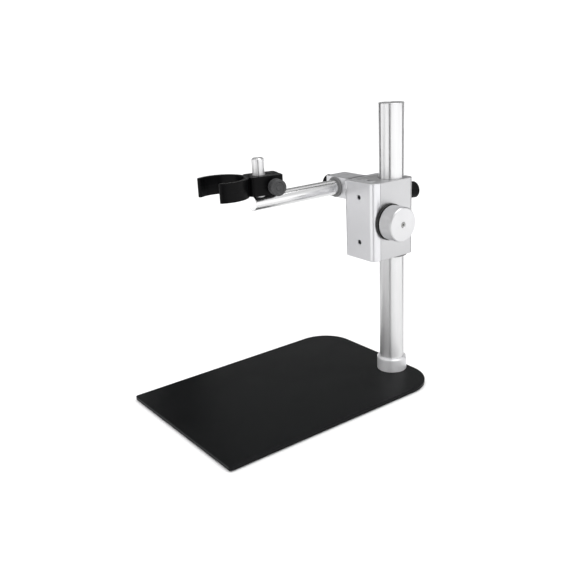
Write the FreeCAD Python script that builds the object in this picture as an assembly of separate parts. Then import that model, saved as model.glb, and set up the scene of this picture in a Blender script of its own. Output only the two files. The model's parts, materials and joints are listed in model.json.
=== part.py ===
import FreeCAD
import Part

import math
import os

# Bench boom stand for a handheld digital microscope.
# Millimetres.  Origin on the resting plane, on the axis of the upright post.
# +Z is up, -Y is the front of the stand (the boom points there) and +X is the focus knob side.

V = FreeCAD.Vector
X_AXIS = V(1, 0, 0)
Y_AXIS = V(0, 1, 0)
Z_AXIS = V(0, 0, 1)

# ---- clearances shared by the fits -------------------------------------------------------
RUN = 0.05            # radial running clearance of every turning or sliding bush
SEAM = 0.15           # gap between the carriage and the housing faces
WING_GAP = 0.3        # gap between the carriage wing and the side of the housing
DOVE_GAP = 0.08       # side and floor clearance of the dovetail
LIFT = 0.1            # end float between stacked moving parts

# ---- base --------------------------------------------------------------------------------
PLATE_WIDTH = 179.5
PLATE_DEPTH = 257.5
PLATE_THICK = 4.0
POST_FROM_RIGHT = 53.0
COLLAR_FROM_BACK = 0.8       # plate behind the post collar
REAR_CORNER_R = 36.0
FRONT_CORNER_R = 2.5
PLATE_EDGE = 0.5
FOOT_R = 7.0
FOOT_PROUD = 1.0
FOOT_RECESS = 1.2
FOOT_INSET = 24.0
FOOT_EDGE = 0.6

# ---- post --------------------------------------------------------------------------------
POST_R = 12.5
POST_WALL = 2.5
POST_LENGTH = 277.5
POST_EDGE = 0.6
PLUG_LENGTH = 20.0
CAP_LENGTH = 8.0
COLLAR_WALL = 3.0
COLLAR_HEIGHT = 14.5
COLLAR_EDGE = 1.2
COLLAR_FOOT_EDGE = 0.4
COLLAR_SCREW_R = 2.0
COLLAR_SCREW_SINK = 0.2
COLLAR_SOCKET_R = 1.0
COLLAR_SOCKET = 1.6
COLLAR_SCREW_ANGLE = 135.0
BASE_SCREW_R = 3.0
BASE_SCREW_HEAD_R = 5.4
BASE_SCREW_HEAD = 2.4
BASE_SCREW_LENGTH = 17.0
BASE_SOCKET = 4.0

# ---- focus block: a housing clamped to the post and a carriage that slides on it ----------
BLOCK_BOTTOM = 133.5
BLOCK_HEIGHT = 77.0
HOUSING_WALL_RIGHT = 2.45    # wall beside the post bore
HOUSING_WALL_BACK = 1.95
HOUSING_WALL_LEFT = 8.45
BLOCK_EDGE_R = 6.0
CARRIAGE_THICK = 9.05
WING_THICK = 5.7
WING_EDGE_R = 4.0
WING_BACK_STEP = 6.0         # the wing stops this far short of the housing's back
LINER_WALL = 0.95
LINER_SLIT = 1.5
LINER_FLANGE_WALL = 2.0
LINER_FLANGE = 1.5

# ---- dovetail, rack and pinion -----------------------------------------------------------
DOVE_X = -5.0
DOVE_NECK = 16.0
DOVE_FLOOR = 20.0
DOVE_DEPTH = 4.5
MODULE = 0.7
PINION_WALL = 0.55           # metal between the shaft and the tooth roots, at least
PRESSURE = math.radians(20.0)
BACKLASH = 0.10
PINION_ADDENDUM = 0.8 * MODULE
RACK_ADDENDUM = 0.6 * MODULE
TIP_CLEARANCE = 0.2
FLANK_POINTS = 6
RACK_END_GAP = 7.2           # plain slot beyond each end of the rack
RACK_WIDTH = 5.8
RACK_BACKING = 3.0
RACK_SINK = 2.54             # the rack lies this far behind the seam, inside the dovetail
PINION_WIDTH = 7.0
PINION_POCKET_SIDE = 0.5
PINION_POCKET_ROOM = 0.35
RACK_SLOT_ROOM = 0.4
RACK_SLOT_SIDE = 1.1
SHAFT_R = 3.0
SHAFT_EDGE = 0.4
SHAFT_END_GAP = 0.6
BUSH_WALL = 1.45
BUSH_LENGTH = 8.0
SHAFT_DROP = 0.5             # shaft below the block's middle
POCKET_FROM_BORE = 0.84      # metal between the post bore and the pinion pocket

# ---- focus knob --------------------------------------------------------------------------
KNOB_R = 17.0
KNOB_LENGTH = 16.5
KNOB_EDGE = 1.0
KNOB_RING_PROUD = 1.0        # the ring stands this far out beyond the knob
KNOB_RING_THICK = 3.2
KNOB_RING_GAP = 0.3
KNOB_SCREW_R = 1.5
KNOB_SCREW_HEAD_R = 2.6
KNOB_SCREW_HEAD = 2.0
KNOB_SCREW_LENGTH = 9.0
KNOB_SCREW_SINK = 0.3
KNOB_SOCKET = 2.0
KNOB_SOCKET_DEPTH = 1.2
KNOB_END_WALL = 4.5
SCREW_HOLE_EXTRA = 1.0

# ---- rack screws in the front face -------------------------------------------------------
RACK_SCREW_R = 1.25
RACK_SCREW_HEAD_R = 2.2
RACK_SCREW_HEAD = 1.4
RACK_SCREW_SINK = 0.5
RACK_SCREW_UP = 17.0         # lower screw above the block's bottom face
RACK_SCREW_DOWN = 15.0       # upper screw below its top face
RACK_SCREW_BITE = 2.4
RACK_SCREW_HOLE = 2.6
RACK_SOCKET_R = 0.9
RACK_SOCKET = 1.0

# ---- ear, boom rod and its liner ---------------------------------------------------------
EAR_WALL_LEFT = 4.95         # wall beside the rod bore
EAR_WALL_TOP = 1.45
EAR_SETBACK = 5.2            # the ear's front face stands back from the carriage's
EAR_DEPTH = 25.0
EAR_EDGE_R = 2.0
ROD_R = 7.5
ROD_FROM_WING = 8.95         # metal between the wing and the rod bore
ROD_REST_REAR = 3.5
ROD_LENGTH = 131.0
ROD_EDGE = 0.8
ROD_LINER_WALL = 1.45
ROD_FLANGE_WALL = 1.2
ROD_FLANGE = 1.2

# ---- pin, bush and clip ------------------------------------------------------------------
PIN_R = 5.75
PIN_TIP_WALL = 3.65
PIN_FLAT_DEPTH = 0.9
PIN_FLAT_SIDE = 1.25
PIN_LENGTH = 34.9
PIN_EDGE = 1.2
PIN_STUD_R = 3.0
PIN_STUD_LENGTH = 11.0
PIN_BUSH_WALL = 1.4
CLIP_GAP = 0.3
CLIP_HEIGHT = 18.0
CLIP_TURN = -14.6
CLIP_BORE_R = 21.2
CLIP_WALL = 4.2
CLIP_LONG_JAW = 52.0
CLIP_SHORT_JAW = 72.5
CLIP_FROM_HUB = 8.35         # metal between the pin bush and the instrument bore
HUB_WALL = 5.35
HUB_BACK_ROOM = 12.85        # hub behind the pin bush
HUB_EDGE_R = 3.0
HUB_SLIT = 2.0
CLAMP_FROM_BUSH = 1.85
CLAMP_DROP = 1.2             # clamp stud below the middle of the clip

# ---- thumb screws ------------------------------------------------------------------------
THUMB_R = 8.3
THUMB_LENGTH = 11.0
THUMB_EDGE = 0.8
THUMB_NECK_R = 4.5
THUMB_NECK = 1.0
LOCK_FROM_TOP = 17.2
LOCK_STUD_R = 3.0
LOCK_STUD_EDGE = 0.5
LOCK_NECK = 1.4
INSERT_WALL = 2.45
INSERT_FLANGE_WALL = 2.0
INSERT_FLANGE = 4.0
ARM_STUD_R = 2.5
ARM_STUD_EDGE = 0.4
CLAMP_KNOB_R = 7.7
CLAMP_KNOB_LENGTH = 9.0
CLAMP_STUD_R = 2.0
CLAMP_STUD_EDGE = 0.3
NUT_FLATS = 7.0
NUT_THICK = 3.2
NUT_SINK = 0.6
OVERSHOOT = 1.0              # how far a cutting tool passes the face that it cuts

# ---- sizes that follow from the ones above -----------------------------------------------
PLATE_TOP = FOOT_PROUD + PLATE_THICK
POST_TOP = PLATE_TOP + POST_LENGTH
FOOT_SEAT = FOOT_PROUD + FOOT_RECESS
PLATE_RIGHT = POST_FROM_RIGHT
PLATE_LEFT = POST_FROM_RIGHT - PLATE_WIDTH
TUBE_R = POST_R - POST_WALL
COLLAR_R = POST_R + COLLAR_WALL
PLATE_BACK = COLLAR_R + COLLAR_FROM_BACK
PLATE_FRONT = PLATE_BACK - PLATE_DEPTH
LINER_IN_R = POST_R + RUN
LINER_OUT_R = LINER_IN_R + LINER_WALL
LINER_FLANGE_R = LINER_OUT_R + LINER_FLANGE_WALL
HOUSING_BORE_R = LINER_OUT_R + RUN
BLOCK_TOP = BLOCK_BOTTOM + BLOCK_HEIGHT
BLOCK_RIGHT = HOUSING_BORE_R + HOUSING_WALL_RIGHT
BLOCK_BACK = HOUSING_BORE_R + HOUSING_WALL_BACK
HOUSING_LEFT = -HOUSING_BORE_R - HOUSING_WALL_LEFT

BUSH_R = SHAFT_R + RUN + BUSH_WALL
PINION_LEAST_R = SHAFT_R + PINION_WALL + RACK_ADDENDUM + TIP_CLEARANCE
PINION_TEETH = math.ceil(2.0 * PINION_LEAST_R / MODULE)
PITCH_R = MODULE * PINION_TEETH / 2.0
PINION_POCKET_R = PITCH_R + PINION_ADDENDUM + PINION_POCKET_ROOM
SHAFT_Y = -HOUSING_BORE_R - POCKET_FROM_BORE - max(PINION_POCKET_R, BUSH_R)
SHAFT_Z = BLOCK_BOTTOM + BLOCK_HEIGHT / 2.0 - SHAFT_DROP
RACK_PITCH = math.pi * MODULE
RACK_LINE_Y = SHAFT_Y - PITCH_R
RACK_TIP_Y = RACK_LINE_Y + RACK_ADDENDUM
RACK_ROOT_Y = RACK_LINE_Y - PINION_ADDENDUM - TIP_CLEARANCE
RACK_BACK_Y = RACK_ROOT_Y - RACK_BACKING
RACK_TEETH = 2 * int((BLOCK_HEIGHT / 2.0 - RACK_END_GAP) / RACK_PITCH)
SEAM_Y = RACK_BACK_Y - RACK_SINK

CARRIAGE_BACK = SEAM_Y - SEAM
CARRIAGE_FRONT = CARRIAGE_BACK - CARRIAGE_THICK
WING_RIGHT = HOUSING_LEFT - WING_GAP
WING_LEFT = WING_RIGHT - WING_THICK
WING_BACK = BLOCK_BACK - WING_BACK_STEP
RACK_SCREW_SEAT = CARRIAGE_FRONT + RACK_SCREW_SINK + RACK_SCREW_HEAD

KNOB_RING_R = KNOB_R + KNOB_RING_PROUD
KNOB_BACK = BLOCK_RIGHT + KNOB_RING_GAP + KNOB_RING_THICK
KNOB_FACE = KNOB_BACK + KNOB_LENGTH
SHAFT_RIGHT = KNOB_FACE - KNOB_END_WALL
SHAFT_LEFT = HOUSING_LEFT + SHAFT_END_GAP

ROD_LINER_IN_R = ROD_R + RUN
ROD_LINER_OUT_R = ROD_LINER_IN_R + ROD_LINER_WALL
ROD_FLANGE_R = ROD_LINER_OUT_R + ROD_FLANGE_WALL
EAR_BORE_R = ROD_LINER_OUT_R + RUN
EAR_HEIGHT = 2 * (EAR_BORE_R + EAR_WALL_TOP)
ROD_X = WING_LEFT - ROD_FROM_WING - EAR_BORE_R
ROD_Z = BLOCK_TOP - EAR_HEIGHT / 2.0
EAR_LEFT = ROD_X - EAR_BORE_R - EAR_WALL_LEFT
EAR_FRONT = CARRIAGE_FRONT + EAR_SETBACK
EAR_BACK = EAR_FRONT + EAR_DEPTH
EAR_MID_Y = EAR_FRONT + EAR_DEPTH / 2.0
ROD_REAR = EAR_BACK + ROD_REST_REAR
ROD_TIP = ROD_REAR - ROD_LENGTH

PIN_Y = ROD_TIP + PIN_TIP_WALL + PIN_R
PIN_SEAT = ROD_Z + ROD_R - PIN_FLAT_DEPTH
PIN_TOP = PIN_SEAT + PIN_LENGTH
PIN_BUSH_IN_R = PIN_R + RUN
PIN_BUSH_OUT_R = PIN_BUSH_IN_R + PIN_BUSH_WALL
HUB_BORE_R = PIN_BUSH_OUT_R + RUN
HUB_HALF_WIDTH = HUB_BORE_R + HUB_WALL
HUB_BACK = HUB_BORE_R + HUB_BACK_ROOM
CLIP_REACH = CLIP_BORE_R + CLIP_FROM_HUB + HUB_BORE_R
CLIP_BOTTOM = ROD_Z + ROD_R + CLIP_GAP
CLIP_TOP = CLIP_BOTTOM + CLIP_HEIGHT
CLAMP_Z = CLIP_BOTTOM + CLIP_HEIGHT / 2.0 - CLAMP_DROP
CLIP_OUT_R = CLIP_BORE_R + CLIP_WALL
CLAMP_BACK = HUB_BORE_R + CLAMP_FROM_BUSH + CLAMP_STUD_R

LOCK_Z = BLOCK_TOP - LOCK_FROM_TOP
INSERT_R = LOCK_STUD_R + RUN + INSERT_WALL
INSERT_FLANGE_R = INSERT_R + INSERT_FLANGE_WALL
LOCK_KNOB_Y = BLOCK_BACK + INSERT_FLANGE + LIFT + LOCK_NECK


def box(x0, x1, y0, y1, z0, z1):
    """A block between two corners."""
    return Part.makeBox(x1 - x0, y1 - y0, z1 - z0, V(x0, y0, z0))


def rod(radius, start, end):
    """A round bar between two points."""
    along = end.sub(start)
    return Part.makeCylinder(radius, along.Length, start, along)


def turned(profile, start, axis):
    """A turned piece: profile is (distance along the axis, radius), first and last on the axis."""
    side = V(0, 0, 1)
    if abs(axis.z) > 0.5:
        side = V(1, 0, 0)
    points = []
    for along, radius in profile:
        points.append(start + axis * along + side * radius)
    points.append(points[0])
    face = Part.Face(Part.makePolygon(points))
    return face.revolve(start, axis, 360.0)


def turned_bar(radius, length, start, axis, edge):
    """A round bar with a chamfer at both ends."""
    profile = [(0, 0), (0, radius - edge), (edge, radius), (length - edge, radius),
               (length, radius - edge), (length, 0)]
    return turned(profile, start, axis)


def extrusion(points, direction):
    """A closed straight-sided outline pushed along a direction."""
    loop = list(points)
    loop.append(loop[0])
    return Part.Face(Part.makePolygon(loop)).extrude(direction)


def upright_edges(shape, corners):
    """The vertical edges of a shape that stand at the given x, y corners."""
    found = []
    for edge in shape.Edges:
        a = edge.Vertexes[0].Point
        b = edge.Vertexes[-1].Point
        if abs(a.x - b.x) > 1e-6 or abs(a.y - b.y) > 1e-6:
            continue
        for x, y in corners:
            if abs(a.x - x) < 1e-3 and abs(a.y - y) < 1e-3:
                found.append(edge)
    return found


def hexagon(flats, start, axis, length):
    """A six-sided bar about an axis along X or Z."""
    points = []
    for i in range(6):
        angle = math.radians(60.0 * i)
        reach = flats / math.sqrt(3.0)
        if abs(axis.x) > 0.5:
            points.append(start + V(0, reach * math.cos(angle), reach * math.sin(angle)))
        else:
            points.append(start + V(reach * math.cos(angle), reach * math.sin(angle), 0))
    return extrusion(points, axis * length)


# ---- base and post -----------------------------------------------------------------------
def foot_places():
    """Centres of the feet: one near each corner, and one under the post over the base screw."""
    xs = (PLATE_LEFT + FOOT_INSET, PLATE_RIGHT - FOOT_INSET)
    ys = (PLATE_FRONT + FOOT_INSET, PLATE_BACK - FOOT_INSET)
    return [(0.0, 0.0)] + [(x, y) for x in xs for y in ys]


def base_plate():
    plate = box(PLATE_LEFT, PLATE_RIGHT, PLATE_FRONT, PLATE_BACK, FOOT_PROUD, PLATE_TOP)
    rear = [(PLATE_LEFT, PLATE_BACK), (PLATE_RIGHT, PLATE_BACK)]
    front = [(PLATE_LEFT, PLATE_FRONT), (PLATE_RIGHT, PLATE_FRONT)]
    plate = plate.makeFillet(REAR_CORNER_R, upright_edges(plate, rear))
    plate = plate.makeFillet(FRONT_CORNER_R, upright_edges(plate, front))
    rim = []
    for edge in plate.Edges:
        if all(abs(v.Z - PLATE_TOP) < 1e-6 for v in edge.Vertexes):
            rim.append(edge)
    plate = plate.makeChamfer(PLATE_EDGE, rim)
    for x, y in foot_places():
        plate = plate.cut(rod(FOOT_R + RUN, V(x, y, FOOT_PROUD), V(x, y, FOOT_SEAT)))
    plate = plate.cut(rod(BASE_SCREW_R + 2 * RUN, V(0, 0, FOOT_PROUD), V(0, 0, PLATE_TOP)))
    sink = Part.makeCone(BASE_SCREW_HEAD_R + RUN, BASE_SCREW_R + RUN, BASE_SCREW_HEAD,
                         V(0, 0, FOOT_SEAT), Z_AXIS)
    return plate.cut(sink)


def rubber_feet():
    feet = []
    for x, y in foot_places():
        profile = [(0, 0), (0, FOOT_R - FOOT_EDGE), (FOOT_EDGE, FOOT_R), (FOOT_SEAT, FOOT_R),
                   (FOOT_SEAT, 0)]
        feet.append(turned(profile, V(x, y, 0), Z_AXIS))
    return Part.makeCompound(feet)


def base_screw():
    head = Part.makeCone(BASE_SCREW_HEAD_R, BASE_SCREW_R, BASE_SCREW_HEAD, V(0, 0, FOOT_SEAT), Z_AXIS)
    tip = V(0, 0, FOOT_SEAT + BASE_SCREW_LENGTH)
    screw = head.fuse(rod(BASE_SCREW_R, V(0, 0, FOOT_SEAT + BASE_SCREW_HEAD), tip))
    socket = hexagon(BASE_SOCKET, V(0, 0, FOOT_SEAT), Z_AXIS, BASE_SOCKET / 2.0)
    return screw.cut(socket).removeSplitter()


def post_tube():
    tube = turned_bar(POST_R, POST_LENGTH, V(0, 0, PLATE_TOP), Z_AXIS, POST_EDGE)
    return tube.cut(rod(TUBE_R, V(0, 0, PLATE_TOP), V(0, 0, POST_TOP)))


def post_foot_plug():
    plug = rod(TUBE_R, V(0, 0, PLATE_TOP), V(0, 0, PLATE_TOP + PLUG_LENGTH))
    return plug.cut(rod(BASE_SCREW_R, V(0, 0, PLATE_TOP), V(0, 0, PLATE_TOP + PLUG_LENGTH)))


def post_top_cap():
    return rod(TUBE_R, V(0, 0, POST_TOP - CAP_LENGTH), V(0, 0, POST_TOP))


def collar_screw_line():
    angle = math.radians(COLLAR_SCREW_ANGLE)
    out = V(math.cos(angle), math.sin(angle), 0)
    middle = V(0, 0, PLATE_TOP + COLLAR_HEIGHT / 2.0)
    return middle, out


def post_collar():
    profile = [(0, 0), (0, COLLAR_R - COLLAR_FOOT_EDGE), (COLLAR_FOOT_EDGE, COLLAR_R),
               (COLLAR_HEIGHT - COLLAR_EDGE, COLLAR_R), (COLLAR_HEIGHT, COLLAR_R - COLLAR_EDGE),
               (COLLAR_HEIGHT, 0)]
    collar = turned(profile, V(0, 0, PLATE_TOP), Z_AXIS)
    collar = collar.cut(rod(POST_R + RUN, V(0, 0, PLATE_TOP), V(0, 0, PLATE_TOP + COLLAR_HEIGHT)))
    middle, out = collar_screw_line()
    return collar.cut(rod(COLLAR_SCREW_R, middle, middle + out * (COLLAR_R + OVERSHOOT)))


def collar_screw():
    middle, out = collar_screw_line()
    start = middle + out * (POST_R + RUN)
    end = middle + out * (COLLAR_R - COLLAR_SCREW_SINK)
    screw = rod(COLLAR_SCREW_R, start, end)
    return screw.cut(rod(COLLAR_SOCKET_R, end - out * COLLAR_SOCKET, end))


# ---- housing -----------------------------------------------------------------------------
def post_liner():
    top = BLOCK_TOP - LIFT
    bottom = BLOCK_BOTTOM - LIFT - LINER_FLANGE
    liner = rod(LINER_OUT_R, V(0, 0, bottom), V(0, 0, top))
    liner = liner.fuse(rod(LINER_FLANGE_R, V(0, 0, bottom), V(0, 0, BLOCK_BOTTOM - LIFT)))
    liner = liner.cut(rod(LINER_IN_R, V(0, 0, bottom), V(0, 0, top)))
    slit = box(-LINER_FLANGE_R - OVERSHOOT, 0, -LINER_SLIT / 2, LINER_SLIT / 2, bottom, top)
    return liner.cut(slit)


def dovetail(gap):
    """The dovetail bar; gap makes it smaller all round, so 0 gives the slot."""
    front = CARRIAGE_BACK - OVERSHOOT
    neck = DOVE_NECK / 2.0 - gap
    floor = DOVE_FLOOR / 2.0 - gap
    back = SEAM_Y + DOVE_DEPTH - gap
    points = [V(DOVE_X - neck, front, BLOCK_BOTTOM), V(DOVE_X - neck, SEAM_Y, BLOCK_BOTTOM),
              V(DOVE_X - floor, back, BLOCK_BOTTOM), V(DOVE_X + floor, back, BLOCK_BOTTOM),
              V(DOVE_X + neck, SEAM_Y, BLOCK_BOTTOM), V(DOVE_X + neck, front, BLOCK_BOTTOM)]
    return extrusion(points, V(0, 0, BLOCK_HEIGHT))


def focus_housing():
    body = box(HOUSING_LEFT, BLOCK_RIGHT, SEAM_Y, BLOCK_BACK, BLOCK_BOTTOM, BLOCK_TOP)
    rear = [(HOUSING_LEFT, BLOCK_BACK), (BLOCK_RIGHT, BLOCK_BACK)]
    body = body.makeFillet(BLOCK_EDGE_R, upright_edges(body, rear))
    body = body.cut(rod(HOUSING_BORE_R, V(0, 0, BLOCK_BOTTOM), V(0, 0, BLOCK_TOP)))
    body = body.cut(dovetail(0.0))
    half = RACK_WIDTH / 2.0 + RACK_SLOT_SIDE
    body = body.cut(box(DOVE_X - half, DOVE_X + half, SEAM_Y, RACK_TIP_Y + RACK_SLOT_ROOM,
                        BLOCK_BOTTOM, BLOCK_TOP))
    pocket_half = PINION_WIDTH / 2.0 + PINION_POCKET_SIDE
    body = body.cut(rod(PINION_POCKET_R, V(DOVE_X - pocket_half, SHAFT_Y, SHAFT_Z),
                        V(DOVE_X + pocket_half, SHAFT_Y, SHAFT_Z)))
    body = body.cut(rod(BUSH_R, V(HOUSING_LEFT, SHAFT_Y, SHAFT_Z), V(BLOCK_RIGHT, SHAFT_Y, SHAFT_Z)))
    body = body.cut(rod(INSERT_R, V(0, 0, LOCK_Z), V(0, BLOCK_BACK + OVERSHOOT, LOCK_Z)))
    return body.removeSplitter()


def shaft_bushes():
    bushes = []
    for start in (HOUSING_LEFT, BLOCK_RIGHT - BUSH_LENGTH):
        a = V(start, SHAFT_Y, SHAFT_Z)
        b = V(start + BUSH_LENGTH, SHAFT_Y, SHAFT_Z)
        bushes.append(rod(BUSH_R, a, b).cut(rod(SHAFT_R + RUN, a, b)))
    return Part.makeCompound(bushes)


def lock_insert():
    start = HOUSING_BORE_R + WING_GAP
    insert = rod(INSERT_R, V(0, start, LOCK_Z), V(0, BLOCK_BACK, LOCK_Z))
    end = BLOCK_BACK + INSERT_FLANGE
    insert = insert.fuse(rod(INSERT_FLANGE_R, V(0, BLOCK_BACK, LOCK_Z), V(0, end, LOCK_Z)))
    return insert.cut(rod(LOCK_STUD_R + RUN, V(0, start, LOCK_Z), V(0, end, LOCK_Z)))


# ---- pinion, shaft and knob --------------------------------------------------------------
def involute(angle):
    """The involute function of a pressure angle."""
    return math.tan(angle) - angle


def pinion_outline():
    """Tooth outline about the shaft axis; one tooth points at the rack."""
    base_r = PITCH_R * math.cos(PRESSURE)
    tip_r = PITCH_R + PINION_ADDENDUM
    root_r = PITCH_R - RACK_ADDENDUM - TIP_CLEARANCE
    half = (RACK_PITCH / 2.0 - BACKLASH) / 2.0 / PITCH_R
    points = []
    for tooth in range(PINION_TEETH):
        middle = math.pi + tooth * 2.0 * math.pi / PINION_TEETH
        flank = []
        for i in range(FLANK_POINTS):
            radius = base_r + (tip_r - base_r) * i / (FLANK_POINTS - 1)
            spread = half + involute(PRESSURE) - involute(math.acos(min(1.0, base_r / radius)))
            flank.append((radius, spread))
        flank.insert(0, (root_r, flank[0][1]))
        for radius, spread in flank:
            points.append((radius, middle - spread))
        for radius, spread in reversed(flank):
            points.append((radius, middle + spread))
    return points


def pinion_gear():
    start = DOVE_X - PINION_WIDTH / 2.0
    points = []
    for radius, angle in pinion_outline():
        points.append(V(start, SHAFT_Y + radius * math.cos(angle), SHAFT_Z + radius * math.sin(angle)))
    gear = extrusion(points, V(PINION_WIDTH, 0, 0))
    return gear.cut(rod(SHAFT_R, V(start, SHAFT_Y, SHAFT_Z), V(start + PINION_WIDTH, SHAFT_Y, SHAFT_Z)))


def pinion_shaft():
    start = V(SHAFT_LEFT, SHAFT_Y, SHAFT_Z)
    shaft = turned_bar(SHAFT_R, SHAFT_RIGHT - SHAFT_LEFT, start, X_AXIS, SHAFT_EDGE)
    depth = KNOB_SCREW_LENGTH + SCREW_HOLE_EXTRA
    return shaft.cut(rod(KNOB_SCREW_R, V(SHAFT_RIGHT - depth, SHAFT_Y, SHAFT_Z),
                         V(SHAFT_RIGHT, SHAFT_Y, SHAFT_Z)))


def focus_knob():
    profile = [(0, 0), (0, KNOB_R - KNOB_EDGE), (KNOB_EDGE, KNOB_R), (KNOB_LENGTH - KNOB_EDGE, KNOB_R),
               (KNOB_LENGTH, KNOB_R - KNOB_EDGE), (KNOB_LENGTH, 0)]
    knob = turned(profile, V(KNOB_BACK, SHAFT_Y, SHAFT_Z), X_AXIS)
    knob = knob.cut(rod(SHAFT_R, V(KNOB_BACK, SHAFT_Y, SHAFT_Z), V(SHAFT_RIGHT, SHAFT_Y, SHAFT_Z)))
    knob = knob.cut(rod(KNOB_SCREW_R, V(SHAFT_RIGHT, SHAFT_Y, SHAFT_Z), V(KNOB_FACE, SHAFT_Y, SHAFT_Z)))
    return knob.cut(rod(KNOB_SCREW_HEAD_R + RUN, V(KNOB_FACE - KNOB_SCREW_HEAD, SHAFT_Y, SHAFT_Z),
                        V(KNOB_FACE, SHAFT_Y, SHAFT_Z)))


def knob_ring():
    a = V(BLOCK_RIGHT + KNOB_RING_GAP, SHAFT_Y, SHAFT_Z)
    b = V(KNOB_BACK, SHAFT_Y, SHAFT_Z)
    return rod(KNOB_RING_R, a, b).cut(rod(SHAFT_R, a, b))


def knob_screw():
    seat = V(KNOB_FACE - KNOB_SCREW_HEAD, SHAFT_Y, SHAFT_Z)
    face = V(KNOB_FACE - KNOB_SCREW_SINK, SHAFT_Y, SHAFT_Z)
    screw = rod(KNOB_SCREW_HEAD_R, seat, face)
    tip = V(SHAFT_RIGHT - KNOB_SCREW_LENGTH + KNOB_END_WALL - KNOB_SCREW_HEAD, SHAFT_Y, SHAFT_Z)
    screw = screw.fuse(rod(KNOB_SCREW_R, tip, seat))
    socket = hexagon(KNOB_SOCKET, face - X_AXIS * KNOB_SOCKET_DEPTH, X_AXIS, KNOB_SOCKET_DEPTH)
    return screw.cut(socket).removeSplitter()


# ---- carriage ----------------------------------------------------------------------------
def rack_screw_heights():
    return (BLOCK_BOTTOM + RACK_SCREW_UP, BLOCK_TOP - RACK_SCREW_DOWN)


def focus_carriage():
    plate = box(WING_LEFT, BLOCK_RIGHT, CARRIAGE_FRONT, CARRIAGE_BACK, BLOCK_BOTTOM, BLOCK_TOP)
    wing = box(WING_LEFT, WING_RIGHT, CARRIAGE_BACK, WING_BACK, BLOCK_BOTTOM, BLOCK_TOP)
    body = plate.fuse(wing).removeSplitter()
    corners = [(WING_LEFT, CARRIAGE_FRONT), (BLOCK_RIGHT, CARRIAGE_FRONT)]
    body = body.makeFillet(BLOCK_EDGE_R, upright_edges(body, corners))
    body = body.makeFillet(WING_EDGE_R, upright_edges(body, [(WING_LEFT, WING_BACK)]))
    root = WING_RIGHT - WING_THICK / 2.0
    ear = box(EAR_LEFT, root, EAR_FRONT, EAR_BACK, BLOCK_TOP - EAR_HEIGHT, BLOCK_TOP)
    ear = ear.makeFillet(EAR_EDGE_R, upright_edges(ear, [(EAR_LEFT, EAR_FRONT), (EAR_LEFT, EAR_BACK)]))
    body = body.fuse(ear).removeSplitter()
    body = body.fuse(dovetail(DOVE_GAP)).removeSplitter()
    half = RACK_WIDTH / 2.0
    body = body.cut(box(DOVE_X - half, DOVE_X + half, RACK_BACK_Y, SEAM_Y + DOVE_DEPTH,
                        BLOCK_BOTTOM, BLOCK_TOP))
    for z in rack_screw_heights():
        seat = V(DOVE_X, RACK_SCREW_SEAT, z)
        body = body.cut(rod(RACK_SCREW_HEAD_R + RUN, V(DOVE_X, CARRIAGE_FRONT, z), seat))
        body = body.cut(rod(RACK_SCREW_R + RUN, seat, V(DOVE_X, RACK_BACK_Y, z)))
    body = body.cut(rod(EAR_BORE_R, V(ROD_X, EAR_FRONT, ROD_Z), V(ROD_X, EAR_BACK, ROD_Z)))
    return body.cut(rod(ARM_STUD_R + RUN, V(EAR_LEFT, EAR_MID_Y, ROD_Z), V(ROD_X, EAR_MID_Y, ROD_Z)))


def focus_rack():
    half_length = RACK_TEETH * RACK_PITCH / 2.0
    half_tooth = (RACK_PITCH / 2.0 - BACKLASH) / 2.0
    root_half = half_tooth + (RACK_LINE_Y - RACK_ROOT_Y) * math.tan(PRESSURE)
    tip_half = half_tooth - RACK_ADDENDUM * math.tan(PRESSURE)
    start = DOVE_X - RACK_WIDTH / 2.0
    outline = [V(start, RACK_BACK_Y, SHAFT_Z - half_length), V(start, RACK_ROOT_Y, SHAFT_Z - half_length)]
    for i in range(RACK_TEETH):
        middle = SHAFT_Z - half_length + (i + 0.5) * RACK_PITCH
        outline.append(V(start, RACK_ROOT_Y, middle - root_half))
        outline.append(V(start, RACK_TIP_Y, middle - tip_half))
        outline.append(V(start, RACK_TIP_Y, middle + tip_half))
        outline.append(V(start, RACK_ROOT_Y, middle + root_half))
    outline.append(V(start, RACK_ROOT_Y, SHAFT_Z + half_length))
    outline.append(V(start, RACK_BACK_Y, SHAFT_Z + half_length))
    rack = extrusion(outline, V(RACK_WIDTH, 0, 0))
    for z in rack_screw_heights():
        mouth = V(DOVE_X, RACK_BACK_Y, z)
        rack = rack.cut(rod(RACK_SCREW_R, mouth, mouth + Y_AXIS * RACK_SCREW_HOLE))
    return rack


def rack_screws():
    screws = []
    for z in rack_screw_heights():
        face = V(DOVE_X, CARRIAGE_FRONT + RACK_SCREW_SINK, z)
        seat = V(DOVE_X, RACK_SCREW_SEAT, z)
        screw = rod(RACK_SCREW_HEAD_R, face, seat)
        screw = screw.fuse(rod(RACK_SCREW_R, seat, V(DOVE_X, RACK_BACK_Y + RACK_SCREW_BITE, z)))
        socket = rod(RACK_SOCKET_R, face, face + Y_AXIS * RACK_SOCKET)
        screws.append(screw.cut(socket).removeSplitter())
    return Part.makeCompound(screws)


# ---- boom rod ----------------------------------------------------------------------------
def arm_liner():
    front = EAR_FRONT - LIFT
    liner = rod(ROD_LINER_OUT_R, V(ROD_X, front, ROD_Z), V(ROD_X, EAR_BACK, ROD_Z))
    liner = liner.fuse(rod(ROD_FLANGE_R, V(ROD_X, front - ROD_FLANGE, ROD_Z), V(ROD_X, front, ROD_Z)))
    liner = liner.cut(rod(ROD_LINER_IN_R, V(ROD_X, front - ROD_FLANGE, ROD_Z), V(ROD_X, EAR_BACK, ROD_Z)))
    slit = box(ROD_X - LINER_SLIT / 2, ROD_X + LINER_SLIT / 2, front - ROD_FLANGE, EAR_BACK,
               ROD_Z - ROD_FLANGE_R - OVERSHOOT, ROD_Z)
    return liner.cut(slit)


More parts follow.
